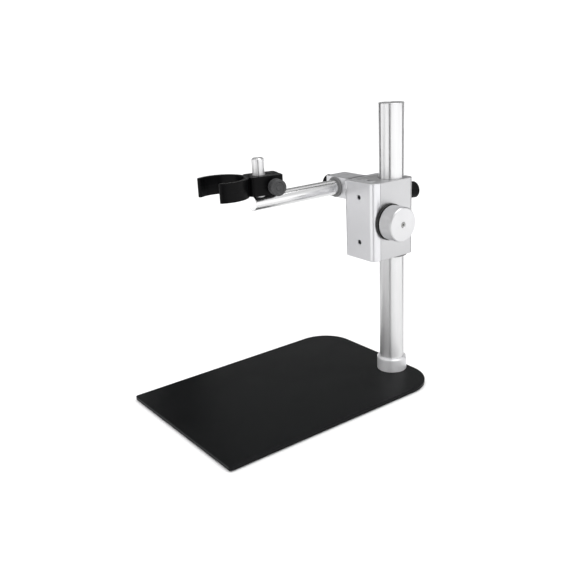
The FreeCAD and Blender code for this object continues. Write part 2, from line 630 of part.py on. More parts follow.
def arm_rod():
    arm = turned_bar(ROD_R, ROD_LENGTH, V(ROD_X, ROD_TIP, ROD_Z), Y_AXIS, ROD_EDGE)
    half = PIN_R + PIN_FLAT_SIDE
    flat = box(ROD_X - ROD_R, ROD_X + ROD_R, PIN_Y - half, PIN_Y + half, PIN_SEAT, ROD_Z + ROD_R)
    arm = arm.cut(flat)
    return arm.cut(rod(PIN_STUD_R, V(ROD_X, PIN_Y, PIN_SEAT - PIN_STUD_LENGTH), V(ROD_X, PIN_Y, PIN_SEAT)))


def holder_pin():
    whole = PIN_STUD_LENGTH + PIN_LENGTH
    profile = [(0, 0), (0, PIN_STUD_R), (PIN_STUD_LENGTH, PIN_STUD_R), (PIN_STUD_LENGTH, PIN_R),
               (whole - PIN_EDGE, PIN_R), (whole, PIN_R - PIN_EDGE), (whole, 0)]
    return turned(profile, V(ROD_X, PIN_Y, PIN_SEAT - PIN_STUD_LENGTH), Z_AXIS)


# ---- clip --------------------------------------------------------------------------------
def place_on_pin(shape):
    """Moves a piece drawn about the pin axis to the pin and swivels it."""
    shape.rotate(V(0, 0, 0), Z_AXIS, CLIP_TURN)
    shape.translate(V(ROD_X, PIN_Y, 0))
    return shape


def pin_bush():
    bush = rod(PIN_BUSH_OUT_R, V(0, 0, CLIP_BOTTOM), V(0, 0, CLIP_TOP))
    bush = bush.cut(rod(PIN_BUSH_IN_R, V(0, 0, CLIP_BOTTOM), V(0, 0, CLIP_TOP)))
    bush = bush.cut(box(-HUB_SLIT / 2, HUB_SLIT / 2, 0, PIN_BUSH_OUT_R, CLIP_BOTTOM, CLIP_TOP))
    return place_on_pin(bush)


def polar(radius, degrees):
    """A point on a circle about the clip's centre."""
    angle = math.radians(degrees)
    return V(radius * math.cos(angle), -CLIP_REACH + radius * math.sin(angle), CLIP_BOTTOM)


def clip_ring():
    """The open ring, with round ends on both jaws."""
    start = -90.0 + CLIP_SHORT_JAW
    end = 270.0 - CLIP_LONG_JAW
    middle = (start + end) / 2.0
    half_wall = CLIP_WALL / 2.0
    mean_r = CLIP_BORE_R + half_wall
    bump = math.degrees(half_wall / mean_r)
    edges = [Part.Arc(polar(CLIP_OUT_R, start), polar(CLIP_OUT_R, middle), polar(CLIP_OUT_R, end)),
             Part.Arc(polar(CLIP_OUT_R, end), polar(mean_r, end + bump), polar(CLIP_BORE_R, end)),
             Part.Arc(polar(CLIP_BORE_R, end), polar(CLIP_BORE_R, middle), polar(CLIP_BORE_R, start)),
             Part.Arc(polar(CLIP_BORE_R, start), polar(mean_r, start - bump), polar(CLIP_OUT_R, start))]
    wire = Part.Wire([edge.toShape() for edge in edges])
    return Part.Face(wire).extrude(V(0, 0, CLIP_HEIGHT))


def holder_clip():
    front = HUB_HALF_WIDTH - CLIP_REACH
    hub = box(-HUB_HALF_WIDTH, HUB_HALF_WIDTH, front, HUB_BACK, CLIP_BOTTOM, CLIP_TOP)
    corners = [(-HUB_HALF_WIDTH, HUB_BACK), (HUB_HALF_WIDTH, HUB_BACK)]
    hub = hub.makeFillet(HUB_EDGE_R, upright_edges(hub, corners))
    bore = rod(CLIP_BORE_R, V(0, -CLIP_REACH, CLIP_BOTTOM), V(0, -CLIP_REACH, CLIP_TOP))
    clip = hub.cut(bore).fuse(clip_ring()).removeSplitter()
    clip = clip.cut(rod(HUB_BORE_R, V(0, 0, CLIP_BOTTOM), V(0, 0, CLIP_TOP)))
    clip = clip.cut(box(-HUB_SLIT / 2, HUB_SLIT / 2, 0, HUB_BACK, CLIP_BOTTOM, CLIP_TOP))
    left = V(-HUB_HALF_WIDTH, CLAMP_BACK, CLAMP_Z)
    clip = clip.cut(rod(CLAMP_STUD_R + 2 * RUN, left, V(HUB_HALF_WIDTH, CLAMP_BACK, CLAMP_Z)))
    return place_on_pin(clip.cut(hexagon(NUT_FLATS, left, X_AXIS, NUT_SINK + NUT_THICK)))


def clamp_nut():
    start = V(-HUB_HALF_WIDTH + NUT_SINK, CLAMP_BACK, CLAMP_Z)
    nut = hexagon(NUT_FLATS, start, X_AXIS, NUT_THICK)
    bore = rod(CLAMP_STUD_R + RUN, start, start + X_AXIS * NUT_THICK)
    return place_on_pin(nut.cut(bore))


def clamp_stud():
    start = V(-HUB_HALF_WIDTH + NUT_SINK, CLAMP_BACK, CLAMP_Z)
    length = HUB_HALF_WIDTH * 2 - NUT_SINK + THUMB_NECK + CLAMP_KNOB_LENGTH / 2.0
    return place_on_pin(turned_bar(CLAMP_STUD_R, length, start, X_AXIS, CLAMP_STUD_EDGE))


def clamp_knob():
    start = V(HUB_HALF_WIDTH + LIFT, CLAMP_BACK, CLAMP_Z)
    knob = thumb_knob(start, X_AXIS, CLAMP_KNOB_R, CLAMP_KNOB_LENGTH, THUMB_NECK - LIFT)
    bore = rod(CLAMP_STUD_R, start, start + X_AXIS * (THUMB_NECK - LIFT + CLAMP_KNOB_LENGTH / 2.0))
    return place_on_pin(knob.cut(bore))


# ---- thumb screws ------------------------------------------------------------------------
def thumb_knob(start, axis, radius, length, neck):
    """A round thumb knob with a narrow neck towards the part that it clamps."""
    profile = [(0, 0), (0, THUMB_NECK_R), (neck, THUMB_NECK_R), (neck, radius - THUMB_EDGE),
               (neck + THUMB_EDGE, radius), (neck + length - THUMB_EDGE, radius),
               (neck + length, radius - THUMB_EDGE), (neck + length, 0)]
    return turned(profile, start, axis)


def post_lock_knob():
    start = V(0, BLOCK_BACK + INSERT_FLANGE + LIFT, LOCK_Z)
    knob = thumb_knob(start, Y_AXIS, THUMB_R, THUMB_LENGTH, LOCK_NECK)
    return knob.cut(rod(LOCK_STUD_R, start, start + Y_AXIS * (LOCK_NECK + THUMB_LENGTH / 2.0)))


def post_lock_stud():
    start = LINER_OUT_R + LIFT
    end = LOCK_KNOB_Y + THUMB_LENGTH / 2.0
    return turned_bar(LOCK_STUD_R, end - start, V(0, start, LOCK_Z), Y_AXIS, LOCK_STUD_EDGE)


def arm_lock_knob():
    start = V(EAR_LEFT - LIFT, EAR_MID_Y, ROD_Z)
    knob = thumb_knob(start, X_AXIS * -1, THUMB_R, THUMB_LENGTH, THUMB_NECK)
    return knob.cut(rod(ARM_STUD_R, start, start - X_AXIS * (THUMB_NECK + THUMB_LENGTH / 2.0)))


def arm_lock_stud():
    start = ROD_X - ROD_LINER_OUT_R - LIFT
    end = EAR_LEFT - LIFT - THUMB_NECK - THUMB_LENGTH / 2.0
    return turned_bar(ARM_STUD_R, start - end, V(end, EAR_MID_Y, ROD_Z), X_AXIS, ARM_STUD_EDGE)


PIECES = [base_plate, rubber_feet, base_screw, post_tube, post_foot_plug, post_top_cap, post_collar,
          collar_screw, post_liner, focus_housing, shaft_bushes, lock_insert, pinion_shaft, pinion_gear,
          focus_knob, knob_ring, knob_screw, focus_carriage, focus_rack, rack_screws, arm_liner, arm_rod,
          holder_pin, pin_bush, holder_clip, clamp_nut, clamp_stud, clamp_knob, post_lock_knob,
          post_lock_stud, arm_lock_knob, arm_lock_stud]


def main():
    os.makedirs("parts", exist_ok=True)
    for piece in PIECES:
        shape = piece()
        shape.exportStep(os.path.join("parts", piece.__name__ + ".step"))
        size = shape.BoundBox
        print("%-16s valid=%s solids=%d volume=%.0f  x %.2f..%.2f  y %.2f..%.2f  z %.2f..%.2f" % (
            piece.__name__, shape.isValid(), len(shape.Solids), shape.Volume, size.XMin, size.XMax,
            size.YMin, size.YMax, size.ZMin, size.ZMax))


main()
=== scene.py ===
"""Looks of a bench boom stand for a handheld digital microscope, laid over its CAD frame.

All sizes are in metres."""

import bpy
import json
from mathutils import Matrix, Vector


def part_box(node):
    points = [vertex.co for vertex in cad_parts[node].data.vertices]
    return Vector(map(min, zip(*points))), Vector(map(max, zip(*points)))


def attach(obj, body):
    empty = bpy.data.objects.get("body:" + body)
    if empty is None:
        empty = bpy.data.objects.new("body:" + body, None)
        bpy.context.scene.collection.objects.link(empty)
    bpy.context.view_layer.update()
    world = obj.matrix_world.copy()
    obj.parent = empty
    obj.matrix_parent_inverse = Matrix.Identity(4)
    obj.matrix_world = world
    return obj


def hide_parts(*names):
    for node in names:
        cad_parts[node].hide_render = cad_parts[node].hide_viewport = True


bl_info = {
    "name": "Microscope Boom Stand",
    "version": (1, 0, 0),
    "blender": (4, 5, 0),
    "location": "View3D > Sidebar > Boom Stand",
    "description": "Builds the visible surfaces and finishes of a boom stand around its CAD frame",
    "category": "Object",
}

import json
import math

import bpy
import numpy as np
from bpy.props import FloatProperty, FloatVectorProperty, IntProperty, PointerProperty
from mathutils import Matrix, Vector
from mathutils.geometry import tessellate_polygon

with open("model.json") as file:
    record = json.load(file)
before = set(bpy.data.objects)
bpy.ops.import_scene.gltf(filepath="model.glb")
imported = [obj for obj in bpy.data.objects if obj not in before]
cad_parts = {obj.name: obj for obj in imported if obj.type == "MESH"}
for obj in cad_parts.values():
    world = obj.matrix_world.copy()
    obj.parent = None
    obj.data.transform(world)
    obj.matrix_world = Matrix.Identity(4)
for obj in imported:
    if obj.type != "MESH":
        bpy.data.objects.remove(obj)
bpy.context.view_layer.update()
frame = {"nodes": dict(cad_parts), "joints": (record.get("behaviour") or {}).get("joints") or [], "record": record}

MM = 0.001
SHARP = math.radians(32.0)
RUN = 0.05 * MM              # clearance between parts that turn or slide in each other
LINER_WALL = 1.45 * MM       # wall of the boom's liner
DOVE_NECK = 8.0 * MM         # half width of the dovetail at its mouth
DOVE_FLOOR = 10.0 * MM       # half width of the dovetail at its floor
DOVE_DEEP = 4.5 * MM
DOVE_GAP = 0.08 * MM         # the dovetail bar is this much smaller than its slot
SKY = ((0.0, 1.3), (0.2, 1.25), (0.4, 0.75), (0.65, 0.6), (1.0, 0.8))   # height above the horizon, brightness
ORIGIN = (0.0, 0.0, 0.0)
X_AXIS = np.array((1.0, 0.0, 0.0))
Y_AXIS = np.array((0.0, 1.0, 0.0))
Z_AXIS = np.array((0.0, 0.0, 1.0))
JOINTS = {joint["name"]: joint for joint in frame["joints"]}
MOUNTS = {mount["name"]: mount for mount in frame["record"]["mounts"]}


# ---- places and sizes read from the frame ------------------------------------------------
def unit(vector):
    """The vector made one long."""
    vector = np.array(vector, float)
    return vector / np.linalg.norm(vector)


def node_points(node):
    """The corner points of a CAD node as an array."""
    mesh = frame["nodes"][node].data
    points = np.empty(len(mesh.vertices) * 3, np.float32)
    mesh.vertices.foreach_get("co", points)
    return points.reshape(-1, 3).astype(float)


def turned_span(node, point, axis):
    """First place, last place and largest radius of a CAD node along an axis through a point."""
    away = node_points(node) - np.array(point, float)
    along = away @ axis
    radius = np.linalg.norm(away - along[:, None] * axis, axis=1)
    return along.min(), along.max(), radius.max()


def bore_radius(node, point, axis):
    """Smallest distance of a CAD node's points from an axis: the radius of its bore."""
    away = node_points(node) - np.array(point, float)
    along = away @ axis
    return np.linalg.norm(away - along[:, None] * axis, axis=1).min()


def box_middle(node):
    """The middle of a CAD node's box."""
    low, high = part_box(node)
    return np.array((low + high) / 2.0)


# ---- shapes --------------------------------------------------------------------------------
def arc(centre, radius, start, end, steps):
    """Points on a circle: centre + radius (cos t, sin t), t running from start to end in degrees."""
    turn = np.radians(np.linspace(start, end, steps + 1))
    return np.stack((centre[0] + radius * np.cos(turn), centre[1] + radius * np.sin(turn)), 1)


def rounded(corners, radii, steps=6, closed=True):
    """An outline whose corners are arcs; each touches both sides, radius / tan(half the angle) away."""
    corners = np.array(corners, float)
    count = len(corners)
    points = []
    for i in range(count):
        here, radius = corners[i], radii[i]
        if radius <= 0.0 or (not closed and i in (0, count - 1)):
            points.append(here[None])
            continue
        back = unit(corners[i - 1] - here)
        ahead = unit(corners[(i + 1) % count] - here)
        half = math.acos(float(np.clip(back @ ahead, -1.0, 1.0))) / 2.0
        centre = here + unit(back + ahead) * radius / math.sin(half)
        first = here + back * radius / math.tan(half) - centre
        last = here + ahead * radius / math.tan(half) - centre
        sweep = math.atan2(first[0] * last[1] - first[1] * last[0], float(first @ last))
        turn = np.linspace(0.0, sweep, steps + 1)
        x = first[0] * np.cos(turn) - first[1] * np.sin(turn)
        y = first[0] * np.sin(turn) + first[1] * np.cos(turn)
        points.append(np.stack((x, y), 1) + centre)
    return np.concatenate(points)


def grid_faces(rows, columns, wrap):
    """Four-sided faces of a grid of points whose rows are closed rings; wrap closes the columns too."""
    i = np.arange(rows if wrap else rows - 1)[:, None]
    j = np.arange(columns)[None, :]
    i_next = (i + 1) % rows
    j_next = (j + 1) % columns
    corners = (i * columns + j, i * columns + j_next, i_next * columns + j_next, i_next * columns + j)
    return np.stack([np.broadcast_to(c, (len(i), columns)) for c in corners], -1).reshape(-1, 4).tolist()


def lathe(profile, point, axis, around=96, ripple=None):
    """A turned surface: point + axis a + r (side cos t + up sin t) over the profile (a, r) and the angle t.

    The profile runs up the outside.  One that starts and ends on the axis is closed by two poles, and any
    other is a closed ring.  ripple(a, r, t) gives the radius where it changes with the angle."""
    profile = np.array(profile, float)
    poles = profile[0, 1] == 0.0 and profile[-1, 1] == 0.0
    rows = profile[1:-1] if poles else profile
    turn = np.arange(around) * (2.0 * np.pi / around)
    radius = np.repeat(rows[:, 1:], around, 1)
    if ripple is not None:
        radius = ripple(rows[:, :1], radius, turn[None, :])
    axis = unit(axis)
    side = unit(np.cross(axis, Z_AXIS if abs(axis[2]) < 0.9 else X_AXIS))
    spoke = np.cos(turn)[:, None] * side + np.sin(turn)[:, None] * np.cross(axis, side)
    points = np.array(point, float) + rows[:, :1, None] * axis + radius[..., None] * spoke[None]
    points = points.reshape(-1, 3)
    faces = grid_faces(len(rows), around, not poles)
    if poles:
        j = np.arange(around)
        after = (j + 1) % around
        last = (len(rows) - 1) * around
        start = np.full(around, len(points))
        ends = np.array(point, float) + profile[[0, -1], :1] * axis
        faces += np.stack((start, after, j), 1).tolist()
        faces += np.stack((start + 1, last + j, last + after), 1).tolist()
        points = np.concatenate((points, ends))
    return points, faces


def outward(loop):
    """Mitred normals of a closed outline: the two side normals added, over one plus their product."""
    side = np.roll(loop, -1, 0) - loop
    side /= np.linalg.norm(side, axis=1)[:, None]
    ahead = np.stack((side[:, 1], -side[:, 0]), 1)
    back = np.roll(ahead, 1, 0)
    return (ahead + back) / (1.0 + (ahead * back).sum(1))[:, None]


def slab(loops, low, high, edge, place=None, seam=0.0):
    """A flat solid with round edges.  The wall is loop + normal out(s) at height h(s), where (out, h) is a
    quarter circle of radius edge at each end and a low ridge of height seam half way.

    loops holds the outline, anticlockwise, and then any holes, clockwise.  place turns it from its own
    axes into the frame."""
    turn = np.linspace(0.0, np.pi / 2.0, 5)
    out = -edge * (1.0 - np.sin(turn))
    rise = edge * (1.0 - np.cos(turn))
    middle = (low + high) / 2.0
    ridge_out = np.array((0.0, seam, 0.0)) if seam else np.zeros(0)
    ridge_up = middle + seam * np.array((-1.5, 0.0, 1.5)) if seam else np.zeros(0)
    out = np.concatenate((out, ridge_out, out[::-1]))
    height = np.concatenate((low + rise, ridge_up, high - rise[::-1]))
    points, faces, caps, start = [], [], [], 0
    for loop in loops:
        loop = np.array(loop, float)
        flat = loop[None] + outward(loop)[None] * out[:, None, None]
        level = np.broadcast_to(height[:, None, None], flat.shape[:2] + (1,))
        points.append(np.concatenate((flat, level), 2).reshape(-1, 3))
        faces += [[start + corner for corner in face] for face in grid_faces(len(out), len(loop), False)]
        caps.append((start, len(loop), flat[0]))
        start += flat.shape[0] * flat.shape[1]
    points = np.concatenate(points)
    lowest = np.concatenate([np.arange(begin, begin + count) for begin, count, flat in caps])
    top_shift = np.concatenate([np.full(count, (len(out) - 1) * count) for begin, count, flat in caps])
    outline = [[Vector((x, y, 0.0)) for x, y in flat] for begin, count, flat in caps]
    triangles = np.array(tessellate_polygon(outline))
    a, b, c = (points[lowest[triangles[:, k]], :2] for k in range(3))
    area = np.cross(b - a, c - a)
    triangles[area < 0.0] = triangles[area < 0.0][:, ::-1]
    triangles = triangles[np.abs(area) > 1e-14]
    faces += (lowest + top_shift)[triangles].tolist()
    faces += lowest[triangles][:, ::-1].tolist()
    if place is not None:
        points = points @ np.array(place.to_3x3()).T + np.array(place.translation)
    return points, faces


def place_axes(origin, u, v, w):
    """A placing whose own axes u, v, w lie along the given directions."""
    turn = Matrix((u, v, w)).transposed().to_4x4()
    turn.translation = Vector(origin)
    return turn


def mesh_of(name, parts):
    """One mesh of several parts."""
    points, faces, start = [], [], 0
    for part_points, part_faces in parts:
        points.append(part_points)
        faces += [[start + corner for corner in face] for face in part_faces]
        start += len(part_points)
    mesh = bpy.data.meshes.new(name)
    mesh.from_pydata(np.concatenate(points), [], faces)
    mesh.update()
    return mesh


def shade(mesh):
    """Smooth faces with creases where the surface turns sharply."""
    mesh.shade_smooth()
    mesh.set_sharp_from_angle(angle=SHARP)


def change(mesh, parts, operation):
    """The mesh with other parts cut away from it or joined to it."""
    piece = bpy.data.objects.new("worked", mesh)
    tool = bpy.data.objects.new("tool", mesh_of("tool", parts))
    for made in (piece, tool):
        bpy.context.scene.collection.objects.link(made)
    step = piece.modifiers.new("work", "BOOLEAN")
    step.operation = operation
    step.solver = "EXACT"
    step.object = tool
    bpy.context.view_layer.update()
    done = bpy.data.meshes.new_from_object(piece.evaluated_get(bpy.context.evaluated_depsgraph_get()))
    done.name = mesh.name
    for made in (piece, tool):
        bpy.data.objects.remove(made)
    return done


def add_piece(name, mesh, material, body, nodes):
    """Puts a finished mesh in the scene as a piece that rides on a body and stands for CAD nodes."""
    shade(mesh)
    mesh.materials.clear()
    mesh.materials.append(material)
    piece = bpy.data.objects.new(name, mesh)
    bpy.context.scene.collection.objects.link(piece)
    weights = piece.modifiers.new("even_normals", "WEIGHTED_NORMAL")
    weights.keep_sharp = True
    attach(piece, body)
    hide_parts(*nodes)
    return piece


# ---- surface detail ------------------------------------------------------------------------
def between(value, low, high, fade):
    """One between low and high, falling smoothly to nothing over fade at both ends."""
    rise = np.clip((value - low) / fade, 0.0, 1.0)
    fall = np.clip((high - value) / fade, 0.0, 1.0)
    return rise * rise * (3.0 - 2.0 * rise) * fall * fall * (3.0 - 2.0 * fall)


def straight_knurl(low, high, radius, count, depth):
    """Grooves along the axis: the radius falls by depth (1 + cos(count t)) / 2 between low and high."""
    def ripple(along, r, turn):
        groove = 0.5 + 0.5 * np.cos(count * turn)
        outer = r > radius * 0.97
        return r - depth * groove * between(along, low, high, 1.2 * MM) * outer
    return ripple


def diamond_knurl(low, high, radius, count, depth):
    """Crossed grooves: depth times the smaller of two triangle waves in count t + k a and count t - k a."""
    def ripple(along, r, turn):
        slope = count / radius
        first = np.abs(np.mod((count * turn + slope * along) / (2.0 * np.pi), 1.0) * 2.0 - 1.0)
        second = np.abs(np.mod((count * turn - slope * along) / (2.0 * np.pi), 1.0) * 2.0 - 1.0)
        groove = 1.0 - np.minimum(first, second)
        outer = r > radius * 0.97
        return r - depth * groove * between(along, low, high, 0.5 * MM) * outer
    return ripple


def hex_socket(radius):
    """Makes the rings of one radius six-sided: r cos 30 / cos(t mod 60 - 30)."""
    def ripple(along, r, turn):
        sixth = np.mod(turn, math.pi / 3.0) - math.pi / 6.0
        flat = r * math.cos(math.pi / 6.0) / np.cos(sixth)
        return np.where(np.abs(r - radius) < 1e-6, flat, r)
    return ripple


def solid_profile(low, high, radius, edge):
    """A round bar's profile with rounded rims."""
    corners = [(low, 0.0), (low, radius), (high, radius), (high, 0.0)]
    return rounded(corners, [0.0, edge, edge, 0.0], closed=False)


def ring_profile(low, high, inner, outer, edge):
    """A ring's profile with rounded rims, up the outside and down the bore."""
    corners = [(low, inner), (low, outer), (high, outer), (high, inner)]
    return rounded(corners, [edge] * 4)


def socket_screw(point, axis, low, high, head_low, shank_r, head_r, socket_r, socket_deep):
    """A socket head screw: shank, head with a round rim, and a six-sided socket in its face."""
    corners = [(low, 0.0), (low, shank_r), (head_low, shank_r), (head_low, head_r), (high, head_r),
               (high, socket_r), (high - socket_deep, socket_r), (high - socket_deep, 0.0)]
    edges = [0.0, 0.2 * MM, 0.0, 0.1 * MM, 0.25 * MM, 0.0, 0.0, 0.0]
    profile = rounded(corners, edges, 4, closed=False)
    return lathe(profile, point, axis, 48, hex_socket(socket_r))


# ---- finishes ------------------------------------------------------------------------------
def node_group(name, inputs, outputs):
    """An empty shader group with named sockets, and its own input and output nodes."""
    group = bpy.data.node_groups.new(name, "ShaderNodeTree")
    for label, kind, default in inputs:
        socket = group.interface.new_socket(name=label, in_out="INPUT", socket_type=kind)
        if default is not None:
            socket.default_value = default
    for label, kind in outputs:
        group.interface.new_socket(name=label, in_out="OUTPUT", socket_type=kind)
    return group, group.nodes.new("NodeGroupInput"), group.nodes.new("NodeGroupOutput")


def add_node(tree, kind, **settings):
    """A new node with its settings."""
    node = tree.nodes.new(kind)
    for key, value in settings.items():
        setattr(node, key, value)
    return node


def math_node(tree, operation, *values):
    """A math node; a value that is a socket is linked."""
    node = add_node(tree, "ShaderNodeMath", operation=operation)
    for slot, value in zip(node.inputs, values):
        if isinstance(value, bpy.types.NodeSocket):
            tree.links.new(value, slot)
        else:
            slot.default_value = value
    return node.outputs[0]


def spread_node(tree, value, low, high, to_low, to_high):
    """Maps a value from one range to another, held at both ends."""
    node = add_node(tree, "ShaderNodeMapRange")
    for slot, amount in zip(node.inputs, (value, low, high, to_low, to_high)):
        if isinstance(amount, bpy.types.NodeSocket):
            tree.links.new(amount, slot)
        else:
            slot.default_value = amount
    return node.outputs[0]


def noise_node(tree, position, scale, detail=3.0, stretch=None):
    """Noise on a position, which stretch scales by axis first."""
    if stretch is not None:
        mapping = add_node(tree, "ShaderNodeMapping")
        mapping.inputs["Scale"].default_value = stretch
        tree.links.new(position, mapping.inputs["Vector"])
        position = mapping.outputs["Vector"]
    noise = add_node(tree, "ShaderNodeTexNoise")
    tree.links.new(position, noise.inputs["Vector"])
    if isinstance(scale, bpy.types.NodeSocket):
        tree.links.new(scale, noise.inputs["Scale"])
    else:
        noise.inputs["Scale"].default_value = scale
    noise.inputs["Detail"].default_value = detail
    return noise.outputs["Fac"]


def grain_group():
    """Fine even grain: noise at two scales, as a mask and as a height."""
    group, given, result = node_group(
        "stand_grain",
        [("Position", "NodeSocketVector", None), ("Scale", "NodeSocketFloat", 900.0)],
        [("Mask", "NodeSocketFloat"), ("Height", "NodeSocketFloat")])
    fine = noise_node(group, given.outputs["Position"], given.outputs["Scale"], 4.0)
    broad = noise_node(group, given.outputs["Position"], 60.0, 2.0)
    mask = math_node(group, "ADD", math_node(group, "MULTIPLY", fine, 0.7),
                    math_node(group, "MULTIPLY", broad, 0.3))
    group.links.new(mask, result.inputs["Mask"])
    group.links.new(fine, result.inputs["Height"])
    return group


def brushed_group():
    """Long lines left by drawing or brushing: noise squeezed along one axis of the part."""
    group, given, result = node_group(
        "stand_brushed",
        [("Position", "NodeSocketVector", None), ("Stretch", "NodeSocketVector", (1.0, 1.0, 0.02)),
         ("Scale", "NodeSocketFloat", 1500.0)],
        [("Mask", "NodeSocketFloat"), ("Height", "NodeSocketFloat")])
    scaled = add_node(group, "ShaderNodeVectorMath", operation="MULTIPLY")
    group.links.new(given.outputs["Position"], scaled.inputs[0])
    group.links.new(given.outputs["Stretch"], scaled.inputs[1])
    lines = noise_node(group, scaled.outputs[0], given.outputs["Scale"], 3.0)
    group.links.new(spread_node(group, lines, 0.3, 0.7, 0.0, 1.0), result.inputs["Mask"])
    group.links.new(lines, result.inputs["Height"])
    return group


def turned_group():
    """Rings left by a lathe tool on a face: a wave of the distance from the axis, broken up by noise."""
    group, given, result = node_group(
        "stand_turned",
        [("Position", "NodeSocketVector", None), ("Centre", "NodeSocketVector", None),
         ("Across", "NodeSocketVector", (0.0, 1.0, 1.0)), ("Pitch", "NodeSocketFloat", 0.0004)],
        [("Mask", "NodeSocketFloat"), ("Height", "NodeSocketFloat")])
    away = add_node(group, "ShaderNodeVectorMath", operation="SUBTRACT")
    group.links.new(given.outputs["Position"], away.inputs[0])
    group.links.new(given.outputs["Centre"], away.inputs[1])
    flat = add_node(group, "ShaderNodeVectorMath", operation="MULTIPLY")
    group.links.new(away.outputs[0], flat.inputs[0])
    group.links.new(given.outputs["Across"], flat.inputs[1])
    radius = add_node(group, "ShaderNodeVectorMath", operation="LENGTH")
    group.links.new(flat.outputs[0], radius.inputs[0])
    phase = math_node(group, "DIVIDE", radius.outputs["Value"], given.outputs["Pitch"])
    wave = math_node(group, "SINE", math_node(group, "MULTIPLY", phase, 2.0 * math.pi))
    broken = noise_node(group, given.outputs["Position"], 260.0, 2.0)
    height = math_node(group, "MULTIPLY", wave, broken)
    group.links.new(spread_node(group, height, -0.6, 0.6, 0.0, 1.0), result.inputs["Mask"])
    group.links.new(height, result.inputs["Height"])
    return group


def handling_group():
    """Where a part has been handled: broad soft patches with a few small specks in them."""
    group, given, result = node_group(
        "stand_handling",
        [("Position", "NodeSocketVector", None), ("Patch Scale", "NodeSocketFloat", 22.0)],
        [("Patches", "NodeSocketFloat"), ("Specks", "NodeSocketFloat")])
    broad = noise_node(group, given.outputs["Position"], given.outputs["Patch Scale"], 5.0)
    group.links.new(spread_node(group, broad, 0.35, 0.68, 0.0, 1.0), result.inputs["Patches"])
    cells = add_node(group, "ShaderNodeTexVoronoi")
    cells.inputs["Scale"].default_value = 330.0
    group.links.new(given.outputs["Position"], cells.inputs["Vector"])
    speck = spread_node(group, cells.outputs["Distance"], 0.05, 0.14, 1.0, 0.0)
    group.links.new(math_node(group, "MULTIPLY", speck, result.inputs["Patches"].links[0].from_socket),
                    result.inputs["Specks"])
    return group


GROUPS = {}


def shared_group(name):
    """A shared group, built the first time that it is asked for."""
    makers = {"grain": grain_group, "brushed": brushed_group, "turned": turned_group,
              "handling": handling_group}
    if name not in GROUPS:
        GROUPS[name] = makers[name]()
    return GROUPS[name]


class Finish:
    """A material in the making: its tree, its shader and the object position that every pattern reads."""

    def __init__(self, name, metallic, roughness, specular=0.5):
        self.material = bpy.data.materials.new(name)
        self.material.use_nodes = True
        self.tree = self.material.node_tree
        self.shader = self.tree.nodes["Principled BSDF"]
        self.shader.inputs["Metallic"].default_value = metallic
        self.shader.inputs["Roughness"].default_value = roughness
        self.shader.inputs["Specular IOR Level"].default_value = specular
        self.position = add_node(self.tree, "ShaderNodeTexCoord").outputs["Object"]

    def use(self, name, **values):
        """Places a shared group and gives it this material's values."""
        node = add_node(self.tree, "ShaderNodeGroup", node_tree=shared_group(name))
        self.tree.links.new(self.position, node.inputs["Position"])
        for key, value in values.items():
            node.inputs[key.replace("_", " ").title()].default_value = value
        return node

    def colour(self, mask, dark, light):
        """Base colour between two colours by a mask."""
        ramp = add_node(self.tree, "ShaderNodeMix", data_type="RGBA")
        ramp.inputs["A"].default_value = (*dark, 1.0)
        ramp.inputs["B"].default_value = (*light, 1.0)
        self.tree.links.new(mask, ramp.inputs["Factor"])
        colour = [slot for slot in ramp.outputs if slot.type == "RGBA"][0]
        self.tree.links.new(colour, self.shader.inputs["Base Color"])

    def roughness(self, mask, low, high):
        """Roughness between two values by a mask."""
        level = spread_node(self.tree, mask, 0.0, 1.0, low, high)
        self.tree.links.new(level, self.shader.inputs["Roughness"])

    def bump(self, height, distance, strength=1.0):
        """Fine relief from a height."""
        relief = add_node(self.tree, "ShaderNodeBump")
        relief.inputs["Distance"].default_value = distance
        relief.inputs["Strength"].default_value = strength
        self.tree.links.new(height, relief.inputs["Height"])
        self.tree.links.new(relief.outputs["Normal"], self.shader.inputs["Normal"])


def shifted(colour, factor):
    """A colour made lighter or darker, held to one."""
    return tuple(min(1.0, channel * factor) for channel in colour)


def powder_coat(look):
    """Matte black powder coat: orange-peel relief, small changes of sheen and a few dust specks."""
    finish = Finish("black_powder_coat", 0.0, look.coat_roughness, 0.13)
    grain = finish.use("grain", scale=1300.0)
    handled = finish.use("handling", patch_scale=14.0)
    finish.colour(handled.outputs["Specks"], tuple(look.coat_colour), shifted(look.coat_colour, 3.2))
    finish.roughness(handled.outputs["Patches"], look.coat_roughness - 0.07, look.coat_roughness + 0.06)
    finish.bump(grain.outputs["Height"], 0.00006, 0.55)
    return finish.material


def polished_steel(look, name, stretch, roughness, polished_round=0.0):
    """Bright bar: nearly mirror, with hair lines along its length and faint finger marks.

    An upright bar that was polished as it turned smears what it reflects up and down."""
    finish = Finish(name, 1.0, roughness)
    finish.shader.inputs["Anisotropic"].default_value = polished_round
    finish.shader.inputs["Anisotropic Rotation"].default_value = 0.25
    lines = finish.use("brushed", stretch=stretch, scale=2600.0)
    handled = finish.use("handling", patch_scale=30.0)
    finish.colour(lines.outputs["Mask"], shifted(look.steel_colour, 0.93), tuple(look.steel_colour))
    finish.roughness(handled.outputs["Patches"], roughness - 0.03, roughness + 0.03)
    finish.bump(lines.outputs["Height"], 0.000008, 0.25)
    return finish.material


def satin_aluminium(look):
    """Bead-blasted and anodised aluminium: even fine grain, a little colour drift and soft handling marks."""
    finish = Finish("satin_aluminium", 1.0, look.aluminium_roughness)
    grain = finish.use("grain", scale=2400.0)
    handled = finish.use("handling", patch_scale=26.0)
    finish.colour(grain.outputs["Mask"], shifted(look.aluminium_colour, 0.94),
                  shifted(look.aluminium_colour, 1.05))
    finish.roughness(handled.outputs["Patches"], look.aluminium_roughness - 0.05,
                     look.aluminium_roughness + 0.05)
    finish.bump(grain.outputs["Height"], 0.00003, 0.5)
    return finish.material


